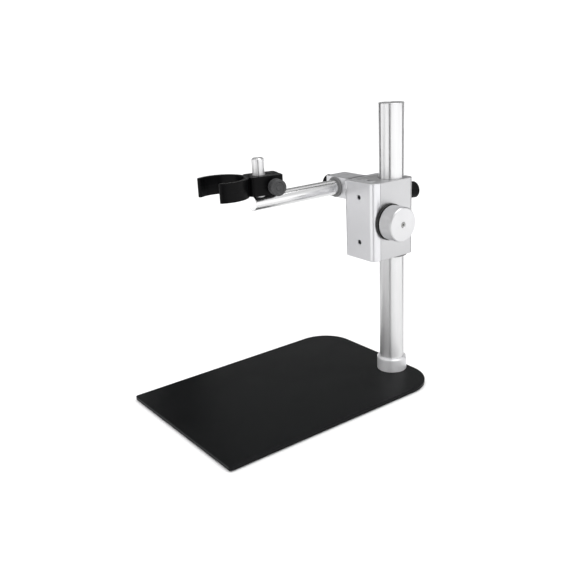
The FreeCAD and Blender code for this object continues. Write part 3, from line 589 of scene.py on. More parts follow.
def turned_aluminium(look, name, centre, across, upright=0.0):
    """Lathe-turned aluminium: tool rings about the part's own axis.

    On an upright part they smear what it reflects up and down and leave it less of a mirror; there its colour is
    also lifted paler, which is painted light."""
    finish = Finish(name, 1.0 - 0.5 * upright, look.aluminium_roughness)
    finish.shader.inputs["Anisotropic"].default_value = upright
    finish.shader.inputs["Anisotropic Rotation"].default_value = 0.25
    rings = finish.use("turned", centre=tuple(centre), across=tuple(across), pitch=look.turned_pitch)
    handled = finish.use("handling", patch_scale=40.0)
    # Painted light: an upright part's colour is lifted paler, so that it looks brighter than its dark reflections
    # leave it.
    pale = 1.0 + 0.2 * upright
    finish.colour(rings.outputs["Mask"], shifted(look.aluminium_colour, 1.1 * pale),
                  shifted(look.aluminium_colour, 1.25 * pale))
    finish.roughness(handled.outputs["Patches"], look.aluminium_roughness - 0.08, look.aluminium_roughness)
    finish.bump(rings.outputs["Height"], 0.00003, 0.6)
    return finish.material


def moulded_plastic(name, colour, roughness, specular=0.5):
    """Moulded plastic or rubber: spark-eroded grain, slight shine where it is handled."""
    finish = Finish(name, 0.0, roughness, specular)
    grain = finish.use("grain", scale=1700.0)
    handled = finish.use("handling", patch_scale=45.0)
    finish.colour(handled.outputs["Specks"], tuple(colour), shifted(colour, 2.2))
    finish.roughness(handled.outputs["Patches"], roughness + 0.06, roughness - 0.05)
    finish.bump(grain.outputs["Height"], 0.00004, 0.5)
    return finish.material


def plain_metal(name, colour, roughness):
    """Machined metal of the fasteners and the drive: cutter lines and a little tarnish."""
    finish = Finish(name, 1.0, roughness)
    lines = finish.use("brushed", stretch=(1.0, 0.1, 0.1), scale=1800.0)
    handled = finish.use("handling", patch_scale=60.0)
    finish.colour(handled.outputs["Patches"], shifted(colour, 0.8), tuple(colour))
    finish.roughness(lines.outputs["Mask"], roughness - 0.06, roughness + 0.08)
    finish.bump(lines.outputs["Height"], 0.00001, 0.4)
    return finish.material


# ---- sizes and colours that a user would change ---------------------------------------------
class StandShape(bpy.types.PropertyGroup):
    """Sizes of the surface detail."""

    plate_edge: FloatProperty(name="Plate edge", description="Round edge of the base plate",
                              default=0.0007, min=0.0001, unit="LENGTH")
    plate_front_r: FloatProperty(name="Plate front corner", description="Radius of the two front corners",
                                 default=0.0025, unit="LENGTH")
    plate_rear_r: FloatProperty(name="Plate rear corner", description="Radius of the two rear corners",
                                default=0.036, unit="LENGTH")
    block_edge: FloatProperty(name="Block edge", description="Broken edge of the aluminium blocks",
                              default=0.0005, unit="LENGTH")
    block_corner: FloatProperty(name="Block corner", description="Radius of the upright block corners",
                                default=0.006, unit="LENGTH")
    rim: FloatProperty(name="Rim", description="Round rim of turned parts", default=0.0005, unit="LENGTH")
    knob_flutes: IntProperty(name="Knob flutes", description="Fine grooves round the focus knob", default=110)
    knob_flute_depth: FloatProperty(name="Flute depth", description="Depth of the focus knob's grooves",
                                    default=0.00018, unit="LENGTH")
    knurl_count: IntProperty(name="Knurl count", description="Crossed grooves round a thumb knob", default=26)
    knurl_depth: FloatProperty(name="Knurl depth", description="Depth of the thumb knobs' knurl",
                               default=0.00055, unit="LENGTH")
    clip_edge: FloatProperty(name="Clip edge", description="Moulded edge of the clip", default=0.0006,
                             unit="LENGTH")
    clip_seam: FloatProperty(name="Clip seam", description="Height of the clip's parting line",
                             default=0.00012, unit="LENGTH")
    clip_wall: FloatProperty(name="Clip wall", description="Wall of the clip's jaws", default=0.0042,
                             unit="LENGTH")
    clip_long_jaw: FloatProperty(name="Long jaw", description="Angle from the front to the long jaw's tip",
                                 default=math.radians(47.5), subtype="ANGLE")
    clip_short_jaw: FloatProperty(name="Short jaw", description="Angle from the front to the short jaw's tip",
                                  default=math.radians(72.5), subtype="ANGLE")
    hub_corner: FloatProperty(name="Hub corner", description="Radius of the clip hub's rear corners",
                              default=0.003, unit="LENGTH")
    hub_shoulder: FloatProperty(name="Hub shoulder", description="Radius of the clip hub's front corners",
                                default=0.0044, unit="LENGTH")
    hub_slit: FloatProperty(name="Hub slit", description="Width of the slit in the clip's hub", default=0.002,
                            unit="LENGTH")


class StandLook(bpy.types.PropertyGroup):
    """Colours and gloss."""

    coat_colour: FloatVectorProperty(name="Powder coat", description="Colour of the base plate",
                                     subtype="COLOR", default=(0.0045, 0.0050, 0.0055), min=0.0, max=1.0)
    coat_roughness: FloatProperty(name="Powder coat roughness", description="Roughness of the base plate",
                                  default=0.36, min=0.0, max=1.0)
    steel_colour: FloatVectorProperty(name="Steel", description="Colour of the polished bars",
                                      subtype="COLOR", default=(0.95, 0.95, 0.955), min=0.0, max=1.0)
    steel_roughness: FloatProperty(name="Steel roughness", description="Roughness of the polished bars",
                                   default=0.36, min=0.0, max=1.0)
    boom_roughness: FloatProperty(name="Boom roughness", description="Roughness of the boom rod",
                                  default=0.2, min=0.0, max=1.0)
    round_polish: FloatProperty(name="Round polish", description="How far upright bars smear reflections",
                                default=0.9, min=0.0, max=1.0)
    aluminium_colour: FloatVectorProperty(name="Aluminium", description="Colour of the block and knob",
                                          subtype="COLOR", default=(0.64, 0.64, 0.65), min=0.0, max=1.0)
    aluminium_roughness: FloatProperty(name="Aluminium roughness", description="Roughness of the block",
                                       default=0.42, min=0.0, max=1.0)
    turned_pitch: FloatProperty(name="Tool pitch", description="Distance between lathe tool rings",
                                default=0.0005, unit="LENGTH")
    plastic_colour: FloatVectorProperty(name="Black plastic", description="Colour of the clip",
                                        subtype="COLOR", default=(0.0025, 0.0025, 0.0028), min=0.0, max=1.0)
    knob_colour: FloatVectorProperty(name="Thumb knobs", description="Colour of the two lock knobs",
                                     subtype="COLOR", default=(0.004, 0.004, 0.0045), min=0.0, max=1.0)
    # Paler copy of the knob black for the clamp knob: painted light on its face, which is turned towards the view.
    painted_light_knob_colour: FloatVectorProperty(name="Clamp knob", description="Colour of the clip's paler knob",
                                          subtype="COLOR", default=(0.045, 0.045, 0.047), min=0.0, max=1.0)


class StandStage(bpy.types.PropertyGroup):
    """Camera, floor and light."""

    camera_place: FloatVectorProperty(name="Camera place", description="Where the camera stands",
                                      subtype="XYZ", unit="LENGTH", default=(0.530, -0.519, 0.348))
    camera_heading: FloatProperty(name="Heading", description="Camera heading, from +Y towards -X",
                                  subtype="ANGLE", default=math.radians(53.82))
    camera_pitch: FloatProperty(name="Pitch", description="How far the camera looks down", subtype="ANGLE",
                                default=math.radians(18.79))
    camera_roll: FloatProperty(name="Roll", description="Turn of the camera about its own view",
                               subtype="ANGLE", default=math.radians(-2.76))
    camera_lens: FloatProperty(name="Lens", description="Focal length in millimetres", default=46.5)
    floor_colour: FloatVectorProperty(name="Floor", description="Colour of the floor", subtype="COLOR",
                                      default=(0.92, 0.92, 0.92), min=0.0, max=1.0)
    light: FloatProperty(name="Light", description="Strength of the light all round", default=1.25, min=0.0)


# ---- base and post ---------------------------------------------------------------------------
class STAND_OT_base(bpy.types.Operator):
    """The flat base plate with round rear corners, and its soft feet."""

    bl_idname = "stand.base"
    bl_label = "Base plate and feet"

    def execute(self, context):
        shape = context.scene.stand_shape
        look = context.scene.stand_look
        low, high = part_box("base_plate")
        corners = [(low.x, low.y), (high.x, low.y), (high.x, high.y), (low.x, high.y)]
        front, rear = shape.plate_front_r, shape.plate_rear_r
        loop = rounded(corners, [front, front, rear, rear], 20)
        mesh = mesh_of("base_plate_sheet", [slab([loop], low.z, high.z, shape.plate_edge)])
        add_piece("base_plate_sheet", mesh, powder_coat(look), "stand", ["base_plate"])
        self.feet()
        return {"FINISHED"}

    def feet(self):
        """Five turned feet, one under the post and four at the plate's corners, each with a hollow sole."""
        points = node_points("rubber_feet")
        low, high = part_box("rubber_feet")
        plate_low, plate_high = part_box("base_plate")
        away = np.hypot(points[:, 0], points[:, 1])
        radius = away[away < 15.0 * MM].max()
        inset = low.y + radius - plate_low.y
        xs = (low.x + radius, high.x - radius)
        ys = (low.y + radius, plate_high.y - inset)
        places = [(0.0, 0.0)] + [(x, y) for x in xs for y in ys]
        corners = [(0.4 * MM, 0.0), (0.4 * MM, radius * 0.55), (0.0, radius * 0.62), (0.0, radius),
                   (high.z, radius), (high.z, 0.0)]
        profile = rounded(corners, [0.0, 0.2 * MM, 0.1 * MM, 0.6 * MM, 0.1 * MM, 0.0], 5, closed=False)
        parts = [lathe(profile, (x, y, 0.0), Z_AXIS, 64) for x, y in places]
        rubber = moulded_plastic("soft_rubber", (0.018, 0.018, 0.018), 0.75, 0.3)
        add_piece("soft_feet", mesh_of("soft_feet", parts), rubber, "stand", ["rubber_feet"])


class STAND_OT_post(bpy.types.Operator):
    """The polished post, its top cap, and the collar at its foot with a set screw."""

    bl_idname = "stand.post"
    bl_label = "Post, cap and collar"

    def execute(self, context):
        shape = context.scene.stand_shape
        look = context.scene.stand_look
        steel = polished_steel(look, "polished_post", (1.0, 1.0, 0.012), look.steel_roughness,
                               look.round_polish)
        low, high, radius = turned_span("post_tube", ORIGIN, Z_AXIS)
        cap_low, cap_high, cap_r = turned_span("post_top_cap", ORIGIN, Z_AXIS)
        profile = ring_profile(low, high, cap_r, radius, shape.rim)
        mesh = mesh_of("post_bar", [lathe(profile, ORIGIN, Z_AXIS, 192)])
        add_piece("post_bar", mesh, steel, "stand", ["post_tube"])
        profile = solid_profile(cap_low, cap_high - 0.1 * MM, cap_r, 0.3 * MM)
        mesh = mesh_of("post_end_cap", [lathe(profile, ORIGIN, Z_AXIS, 128)])
        turned = turned_aluminium(look, "turned_cap", ORIGIN, (1.0, 1.0, 0.0))
        add_piece("post_end_cap", mesh, turned, "stand", ["post_top_cap"])
        self.collar(look, radius)
        return {"FINISHED"}

    def collar(self, look, post_r):
        """The collar with a wide chamfer, bored across for its set screw."""
        low, high, radius = turned_span("post_collar", ORIGIN, Z_AXIS)
        inner = post_r + RUN
        chamfer = 1.2 * MM
        corners = [(low, inner), (low, radius), (high - chamfer, radius), (high, radius - chamfer),
                   (high, inner)]
        profile = rounded(corners, [0.1 * MM, 0.3 * MM, 0.2 * MM, 0.2 * MM, 0.1 * MM], 4)
        mesh = mesh_of("post_foot_collar", [lathe(profile, ORIGIN, Z_AXIS, 160)])
        middle = box_middle("collar_screw")
        out = unit(middle * np.array((1.0, 1.0, 0.0)))
        screw_low, screw_high = turned_span("collar_screw", (0.0, 0.0, middle[2]), out)[:2]
        hole = lathe(solid_profile(post_r, radius + 1.0 * MM, 2.1 * MM, 0.0), (0.0, 0.0, middle[2]), out, 48)
        mesh = change(mesh, [hole], "DIFFERENCE")
        # The collar's paler colour is painted light, lifted to brighten it against the dark plate it reflects.
        turned = turned_aluminium(look, "turned_collar", ORIGIN, (1.0, 1.0, 0.0), 0.8)
        add_piece("post_foot_collar", mesh, turned, "stand", ["post_collar"])
        screw = socket_screw((0.0, 0.0, middle[2]), out, screw_low, screw_high, screw_low + 0.5 * MM,
                             1.6 * MM, 2.0 * MM, 1.1 * MM, 1.5 * MM)
        black = plain_metal("black_set_screw", (0.06, 0.06, 0.065), 0.4)
        add_piece("collar_set_screw", mesh_of("collar_set_screw", [screw]), black, "stand", ["collar_screw"])


# ---- focus block -------------------------------------------------------------------------------
class STAND_OT_housing(bpy.types.Operator):
    """The aluminium housing that the post passes through, with its dovetail slot and the lock insert."""

    bl_idname = "stand.housing"
    bl_label = "Focus housing"

    def execute(self, context):
        shape = context.scene.stand_shape
        look = context.scene.stand_look
        low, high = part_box("focus_housing")
        bore = bore_radius("focus_housing", ORIGIN, Z_AXIS)
        middle = box_middle("focus_rack")[0]
        floor = low.y + DOVE_DEEP
        slot, slot_deep = 4.0 * MM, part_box("focus_rack")[1].y + 0.4 * MM
        corners = [(low.x, low.y), (middle - DOVE_NECK, low.y), (middle - DOVE_FLOOR, floor),
                   (middle - slot, floor), (middle - slot, slot_deep), (middle + slot, slot_deep),
                   (middle + slot, floor), (middle + DOVE_FLOOR, floor), (middle + DOVE_NECK, low.y),
                   (high.x, low.y), (high.x, high.y), (low.x, high.y)]
        radii = [shape.block_edge] * 10 + [shape.block_corner] * 2
        outline = rounded(corners, radii, 8)
        hole = arc((0.0, 0.0), bore, 360.0, 0.0, 128)[:-1]
        mesh = mesh_of("housing_block", [slab([outline, hole], low.z, high.z, shape.block_edge)])
        satin = satin_aluminium(look)
        add_piece("housing_block", mesh, satin, "housing", ["focus_housing"])
        self.insert()
        return {"FINISHED"}

    def insert(self):
        """The flanged brass insert that the post lock screws into."""
        point = (0.0, 0.0, box_middle("lock_insert")[2])
        low, high, flange = turned_span("lock_insert", point, Y_AXIS)
        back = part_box("focus_housing")[1].y
        bore = turned_span("post_lock_stud", point, Y_AXIS)[2] + RUN
        barrel = flange - 2.0 * MM
        corners = [(low, bore), (low, barrel), (back, barrel), (back, flange),
                   (high, flange), (high, bore)]
        profile = rounded(corners, [0.0, 0.2 * MM, 0.0, 0.2 * MM, 0.6 * MM, 0.3 * MM], 5)
        mesh = mesh_of("lock_flange", [lathe(profile, point, Y_AXIS, 96)])
        brass = plain_metal("machined_brass", (0.72, 0.53, 0.26), 0.3)
        add_piece("lock_flange", mesh, brass, "housing", ["lock_insert"])


class STAND_OT_focus_knob(bpy.types.Operator):
    """The large focus knob with fine flutes and a turned face, its black washer and its socket screw. The washer's
    black also stands for painted shade in the gap behind the knob.
    """

    bl_idname = "stand.focus_knob"
    bl_label = "Focus knob"

    def execute(self, context):
        shape = context.scene.stand_shape
        look = context.scene.stand_look
        point = np.array(JOINTS["focus_turn"]["pos_m"]) * np.array((0.0, 1.0, 1.0))
        low, high, radius = turned_span("focus_knob", point, X_AXIS)
        screw_low, screw_high, screw_r = turned_span("knob_screw", point, X_AXIS)
        side = np.linspace(low + 1.3 * MM, high - 1.6 * MM, 14)
        bore = screw_r + 0.1 * MM
        seat = high - 2.0 * MM
        front = [(high - 1.0 * MM, radius), (high, radius - 1.0 * MM), (high, bore + 0.4 * MM),
                 (high - 0.4 * MM, bore), (seat, bore), (seat, 0.0)]
        corners = [(low, 0.0), (low, radius - 1.0 * MM), (low + 1.0 * MM, radius)]
        corners += [(place, radius) for place in side] + front
        soft = 0.25 * MM
        edges = [0.0, soft, soft] + [0.0] * len(side) + [soft, soft, 0.1 * MM, 0.1 * MM, 0.0, 0.0]
        profile = rounded(corners, edges, 4, closed=False)
        flutes = straight_knurl(low + 1.2 * MM, high - 1.2 * MM, radius, shape.knob_flutes,
                                shape.knob_flute_depth)
        mesh = mesh_of("fluted_knob", [lathe(profile, point, X_AXIS, shape.knob_flutes * 8, flutes)])
        turned = turned_aluminium(look, "turned_knob", point, (0.0, 1.0, 1.0))
        add_piece("fluted_knob", mesh, turned, "focus_drive", ["focus_knob"])
        ring_low, ring_high, ring_r = turned_span("knob_ring", point, X_AXIS)
        profile = solid_profile(ring_low, ring_high, ring_r, 0.4 * MM)
        # Black washer behind the knob: its dark rim is partly the washer's own black and partly painted shade of
        # the gap behind the knob.
        washer = moulded_plastic("bearing_plastic", (0.006, 0.006, 0.0065), 0.45)
        mesh = mesh_of("knob_washer_and_gap_shade", [lathe(profile, point, X_AXIS, 128)])
        add_piece("knob_washer_and_gap_shade", mesh, washer, "focus_drive", ["knob_ring"])
        screw = socket_screw(point, X_AXIS, screw_low, screw_high, seat + 0.01 * MM, 1.5 * MM, screw_r,
                             1.15 * MM, 1.2 * MM)
        zinc = plain_metal("zinc_screw", (0.46, 0.46, 0.45), 0.34)
        add_piece("knob_socket_screw", mesh_of("knob_socket_screw", [screw]), zinc, "focus_drive",
                  ["knob_screw"])
        return {"FINISHED"}


class STAND_OT_carriage(bpy.types.Operator):
    """The L-shaped carriage with its dovetail, the ear bored for the boom, and two sunk screws."""

    bl_idname = "stand.carriage"
    bl_label = "Focus carriage"

    def execute(self, context):
        shape = context.scene.stand_shape
        low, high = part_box("focus_carriage")
        housing_low, housing_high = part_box("focus_housing")
        middle = box_middle("focus_rack")[0]
        right = housing_high.x
        side_gap, wing, seam = 0.3 * MM, 5.7 * MM, 0.15 * MM
        wing_right = housing_low.x - side_gap
        wing_left = wing_right - wing
        back = housing_low.y - seam
        neck, floor = DOVE_NECK - DOVE_GAP, DOVE_FLOOR - DOVE_GAP
        deep = housing_low.y + DOVE_DEEP - DOVE_GAP
        groove, groove_floor = 2.9 * MM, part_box("focus_rack")[0].y
        edge = shape.block_edge
        corners = [(wing_left, low.y), (right, low.y), (right, back), (middle + neck, back),
                   (middle + neck, housing_low.y), (middle + floor, deep), (middle + groove, deep),
                   (middle + groove, groove_floor), (middle - groove, groove_floor), (middle - groove, deep),
                   (middle - floor, deep), (middle - neck, housing_low.y), (middle - neck, back),
                   (wing_right, back), (wing_right, high.y), (wing_left, high.y)]
        radii = [shape.block_corner, shape.block_corner, edge] + [0.0] * 11 + [edge, 4.0 * MM]
        outline = rounded(corners, radii, 8)
        mesh = mesh_of("carriage_block", [slab([outline], low.z, high.z, edge)])
        mesh = change(mesh, [self.ear(shape, wing_right - 2.8 * MM)], "UNION")
        mesh = change(mesh, self.screw_holes(), "DIFFERENCE")
        satin = bpy.data.materials["satin_aluminium"]
        add_piece("carriage_block", mesh, satin, "carriage", ["focus_carriage"])
        self.screws()
        return {"FINISHED"}

    def ear(self, shape, root):
        """The ear: an outline in X and Z with the boom's bore, pushed back along Y."""
        low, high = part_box("focus_carriage")
        place = JOINTS["arm_roll"]["pos_m"]
        liner_low, liner_high = turned_span("arm_liner", place, Y_AXIS)[:2]
        front = place[1] + liner_low + 1.3 * MM
        rear = place[1] + liner_high
        bore = turned_span("arm_rod", place, Y_AXIS)[2] + LINER_WALL + 2.0 * RUN
        height = 2.0 * (high.z - place[2])
        corners = [(low.x, high.z - height), (root, high.z - height), (root, high.z), (low.x, high.z)]
        outline = rounded(corners, [0.8 * MM, 0.0, 0.0, 0.8 * MM], 5)
        hole = arc((place[0], place[2]), bore, 360.0, 0.0, 96)[:-1]
        place_ear = place_axes(ORIGIN, X_AXIS, Z_AXIS, -Y_AXIS)
        return slab([outline, hole], -rear, -front, shape.block_edge * 1.6, place_ear)

    def screw_holes(self):
        """Counterbores for the two rack screws, with a broken edge at the mouth."""
        low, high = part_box("rack_screws")
        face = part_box("focus_carriage")[0].y
        middle = box_middle("rack_screws")[0]
        radius = (high.x - low.x) / 2.0 + RUN
        deep = low.y + 1.4 * MM
        corners = [(face - 1.0 * MM, 0.0), (face - 1.0 * MM, radius + 1.4 * MM), (face + 0.4 * MM, radius),
                   (deep, radius), (deep, 0.0)]
        return [lathe(corners, (middle, 0.0, z), Y_AXIS, 48) for z in (low.z + radius, high.z - radius)]

    def screws(self):
        """The two rack screws with six-sided sockets."""
        low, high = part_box("rack_screws")
        middle = box_middle("rack_screws")[0]
        radius = (high.x - low.x) / 2.0
        head = -low.y - 1.4 * MM
        parts = [socket_screw((middle, 0.0, z), -Y_AXIS, -high.y, -low.y, head, 1.25 * MM, radius,
                              1.15 * MM, 1.0 * MM) for z in (low.z + radius, high.z - radius)]
        black = bpy.data.materials["black_set_screw"]
        add_piece("rack_socket_screws", mesh_of("rack_socket_screws", parts), black, "carriage",
                  ["rack_screws"])


# ---- boom, pin and clip --------------------------------------------------------------------------
class STAND_OT_boom(bpy.types.Operator):
    """The polished boom rod, the liners of boom and post, the upright pin and the pin's bush."""

    bl_idname = "stand.boom"
    bl_label = "Boom rod and pin"

    def execute(self, context):
        look = context.scene.stand_look
        place = np.array(JOINTS["arm_roll"]["pos_m"])
        steel = polished_steel(look, "polished_boom", (1.0, 0.012, 1.0), look.boom_roughness)
        low, high, radius = turned_span("arm_rod", place, Y_AXIS)
        rod = lathe(solid_profile(low, high, radius, 0.7 * MM), place, Y_AXIS, 160)
        pin_place = box_middle("holder_pin")
        seat = place[2] + radius - 0.9 * MM
        left, right = place[0] - radius * 1.2, place[0] + radius * 1.2
        front, back = pin_place[1] - 7.0 * MM, pin_place[1] + 7.0 * MM
        corners = [(left, front), (right, front), (right, back), (left, back)]
        flat = slab([corners], seat, seat + 4.0 * MM, 0.05 * MM)
        mesh = change(mesh_of("boom_bar", [rod]), [flat], "DIFFERENCE")
        add_piece("boom_bar", mesh, steel, "arm", ["arm_rod"])
        self.liner(place)
        self.pin(look, pin_place)
        return {"FINISHED"}

    def liner(self, place):
        """The boom liner's flange and sleeve."""
        plastic = moulded_plastic("grey_plastic", (0.16, 0.16, 0.162), 0.5)
        low, high, flange = turned_span("arm_liner", place, Y_AXIS)
        inner = turned_span("arm_rod", place, Y_AXIS)[2] + RUN
        sleeve = inner + LINER_WALL
        flange_back = low + 1.2 * MM
        corners = [(low, inner), (low, flange), (flange_back, flange), (flange_back, sleeve), (high, sleeve),
                   (high, inner)]
        profile = rounded(corners, [0.3 * MM, 0.4 * MM, 0.1 * MM, 0.0, 0.2 * MM, 0.2 * MM], 4)
        mesh = mesh_of("boom_liner", [lathe(profile, place, Y_AXIS, 128)])
        add_piece("boom_liner", mesh, plastic, "arm_sleeve", ["arm_liner"])
        self.post_liner(plastic)

    def post_liner(self, plastic):
        """The flanged sleeve between post and housing, split down its left side."""
        low, high, flange = turned_span("post_liner", ORIGIN, Z_AXIS)
        inner = bore_radius("post_liner", ORIGIN, Z_AXIS)
        sleeve = bore_radius("focus_housing", ORIGIN, Z_AXIS) - RUN
        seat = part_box("focus_housing")[0].z - 0.1 * MM
        corners = [(low, inner), (low, flange), (seat, flange), (seat, sleeve), (high, sleeve),
                   (high, inner)]
        profile = rounded(corners, [0.2 * MM, 0.4 * MM, 0.1 * MM, 0.0, 0.15 * MM, 0.15 * MM], 4)
        mesh = mesh_of("post_liner_sleeve", [lathe(profile, ORIGIN, Z_AXIS, 128)])
        half = 0.75 * MM
        cut = [(-flange - MM, -half), (-inner + MM, -half), (-inner + MM, half), (-flange - MM, half)]
        slit = slab([cut], low - MM, high + MM, 0.05 * MM)
        mesh = change(mesh, [slit], "DIFFERENCE")
        add_piece("post_liner_sleeve", mesh, plastic, "post_sleeve", ["post_liner"])

    def pin(self, look, place):
        """The upright pin with a thin foot and a chamfered top, and the bush round it."""
        point = (place[0], place[1], 0.0)
        low, high, radius = turned_span("holder_pin", point, Z_AXIS)
        foot_r, shoulder = 3.0 * MM, low + 11.0 * MM
        chamfer = 1.2 * MM
        corners = [(low, 0.0), (low, foot_r), (shoulder, foot_r), (shoulder, radius),
                   (high - chamfer, radius), (high, radius - chamfer), (high, 0.0)]
        edges = [0.0, 0.3 * MM, 0.0, 0.1 * MM, 0.25 * MM, 0.25 * MM, 0.0]
        profile = rounded(corners, edges, 4, closed=False)
        steel = polished_steel(look, "polished_pin", (1.0, 1.0, 0.02), look.steel_roughness,
                               look.round_polish)
        mesh = mesh_of("upright_pin", [lathe(profile, point, Z_AXIS, 128)])
        add_piece("upright_pin", mesh, steel, "arm", ["holder_pin"])
        low, high, outer = turned_span("pin_bush", point, Z_AXIS)
        profile = ring_profile(low, high, radius + RUN, outer, 0.25 * MM)
        mesh = mesh_of("pin_sleeve_ring", [lathe(profile, point, Z_AXIS, 96)])
        plastic = bpy.data.materials["bearing_plastic"]
        add_piece("pin_sleeve_ring", mesh, plastic, "pin_sleeve", ["pin_bush"])


class STAND_OT_clip(bpy.types.Operator):
    """The moulded clip: a split hub on the pin and an open ring that grips the instrument."""

    bl_idname = "stand.clip"
    bl_label = "Clip"

    def execute(self, context):
        shape = context.scene.stand_shape
        look = context.scene.stand_look
        pin = np.array(JOINTS["holder_swivel"]["pos_m"])
        across = unit(JOINTS["clip_clamp_turn"]["axis"])
        back = np.cross(Z_AXIS, across)
        bore = MOUNTS["clip_bore"]["dims"]["r_mm"] * MM
        reach = float((np.array(MOUNTS["clip_bore"]["pos_m"]) - pin) @ back)
        away = node_points("holder_clip") - pin
        hub = turned_span("pin_bush", pin, Z_AXIS)[2] + RUN
        hub_wall = 5.35 * MM
        hub_half = hub_wall + hub
        hub_back = float((away @ back).max())
        low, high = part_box("holder_clip")
        outline = self.outline(shape, bore, reach, hub, hub_half, hub_back)
        place = place_axes((pin[0], pin[1], 0.0), across, back, Z_AXIS)
        body = slab([outline], low.z, high.z, shape.clip_edge, place, shape.clip_seam)
        mesh = mesh_of("moulded_clip", [body])
        mesh = change(mesh, [self.pocket(pin, across, hub_half)], "DIFFERENCE")
        plastic = moulded_plastic("moulded_black", look.plastic_colour, 0.32, 0.09)
        add_piece("moulded_clip", mesh, plastic, "holder", ["holder_clip"])
        return {"FINISHED"}

    def outline(self, shape, bore, reach, hub, hub_half, hub_back):
        """Anticlockwise from the short jaw: outer arc, hub, slit and pin bore, hub, outer arc, bore arc."""
        outer = bore + shape.clip_wall
        half_wall = shape.clip_wall / 2.0
        ring = (0.0, reach)
        hub_front = -hub_half
        join = math.degrees(math.asin((hub_front - reach) / outer))
        join_x = outer * math.cos(math.radians(join))
        short_tip = -90.0 + math.degrees(shape.clip_short_jaw)
        long_tip = 270.0 - math.degrees(shape.clip_long_jaw)
        slit = shape.hub_slit / 2.0
        opening = math.degrees(math.asin(slit / hub))
        corner = shape.hub_corner
        inner_y = math.sqrt(hub ** 2 - slit ** 2)
        blend = 1.5 * MM
        start_join = join - math.degrees(blend / outer)
        lean = math.radians(start_join)
        right = rounded([(outer * math.cos(lean), reach + outer * math.sin(lean)), (join_x, hub_front),
                         (hub_half, hub_front), (hub_half, hub_back), (slit, hub_back), (slit, inner_y)],
                        [0.0, 0.3 * MM, shape.hub_shoulder, corner, 0.5 * MM, 0.0], 8, closed=False)
        left = right[::-1] * np.array((-1.0, 1.0))
        tip = np.radians((short_tip, long_tip))
        mean = bore + half_wall
        short_end = (mean * math.cos(tip[0]), reach + mean * math.sin(tip[0]))
        long_end = (mean * math.cos(tip[1]), reach + mean * math.sin(tip[1]))
        return np.concatenate((
            arc(short_end, half_wall, short_tip - 180.0, short_tip, 12)[1:-1],
            arc(ring, outer, short_tip, start_join, 60)[:-1],
            right[:-1],
            arc((0.0, 0.0), hub, 90.0 - opening, -270.0 + opening, 72),
            left[1:],
            arc(ring, outer, 180.0 - start_join, long_tip, 60)[1:],
            arc(long_end, half_wall, long_tip, long_tip + 180.0, 12)[1:-1],
            arc(ring, bore, long_tip, short_tip, 120)))

    def pocket(self, pin, across, hub_half):
        """The six-sided pocket that keeps the clamp nut from turning."""
        nut = box_middle("clamp_nut")
        radius = turned_span("clamp_nut", nut, across)[2]
        point = nut - across * float((nut - pin) @ across)
        outside, bottom = -hub_half - 2.0 * MM, -hub_half + 3.8 * MM
        profile = [(outside, 0.0), (outside, radius), (bottom, radius), (bottom, 0.0)]
        return lathe(profile, point, across, 6)


class STAND_OT_thumb_knobs(bpy.types.Operator):
    """The three knurled thumb knobs: post lock, boom lock and clip clamp."""

    bl_idname = "stand.thumb_knobs"
    bl_label = "Thumb knobs"

    def execute(self, context):
        shape = context.scene.stand_shape
        look = context.scene.stand_look
        black = moulded_plastic("knurled_black", look.knob_colour, 0.42, 0.12)
        # The clamp knob gets a paler, shinier copy of the knob plastic: painted light on its face, which is turned
        # towards the view.
        painted_light_plastic = moulded_plastic("knurled_painted_light", look.painted_light_knob_colour, 0.48, 0.4)
        for node, joint, body, neck, plastic in (
                ("post_lock_knob", "post_lock_turn", "post_lock", 1.4 * MM, black),
                ("arm_lock_knob", "arm_lock_turn", "arm_lock", 0.9 * MM, black),
                ("clamp_knob", "clip_clamp_turn", "clip_clamp", 0.9 * MM, painted_light_plastic)):
            self.knob(shape, plastic, node, JOINTS[joint], body, neck)
        return {"FINISHED"}

    def knob(self, shape, plastic, node, joint, body, neck):
        """One knob: neck, knurled rim between two chamfers, and a dished face with a raised boss."""
        point = np.array(joint["pos_m"])
        axis = unit(joint["axis"])
        low, high, radius = turned_span(node, point, axis)
        head, neck_r = low + neck, 4.5 * MM
        rim, soft = 0.8 * MM, 0.2 * MM
        side = np.linspace(head + rim, high - rim, 30)
        dish, boss = high - 0.9 * MM, high - 0.3 * MM
        corners = [(low, 0.0), (low, neck_r), (head, neck_r), (head, radius - rim)]
        corners += [(place, radius) for place in side]
        corners += [(high, radius - rim), (high, radius * 0.72), (dish, radius * 0.62), (dish, radius * 0.34),
                    (boss, radius * 0.28), (boss, 0.0)]
        edges = [0.0, soft, 0.0, soft] + [0.0] * len(side) + [soft] * 5 + [0.0]
        profile = rounded(corners, edges, 4, closed=False)
        knurl = diamond_knurl(head + rim, high - rim, radius, shape.knurl_count, shape.knurl_depth)
        mesh = mesh_of(node + "_knurled", [lathe(profile, point, axis, shape.knurl_count * 10, knurl)])
        add_piece(node + "_knurled", mesh, plastic, body, [node])


class STAND_OT_inner_parts(bpy.types.Operator):
    """Finishes for the CAD parts that stay as they are: screw, plug, nut, studs, rack and drive."""

    bl_idname = "stand.inner_parts"
    bl_label = "Inner parts"

    def execute(self, context):
        zinc = bpy.data.materials["zinc_screw"]
        brass = bpy.data.materials["machined_brass"]
        dress = {
            "base_screw": zinc, "post_foot_plug": zinc, "shaft_bushes": brass,
            "pinion_shaft": zinc, "pinion_gear": brass, "focus_rack": brass, "clamp_nut": zinc,
            "clamp_stud": zinc, "post_lock_stud": zinc, "arm_lock_stud": zinc,
        }
        for node, material in dress.items():
            mesh = frame["nodes"][node].data
            mesh.materials.clear()
            mesh.materials.append(material)
        return {"FINISHED"}


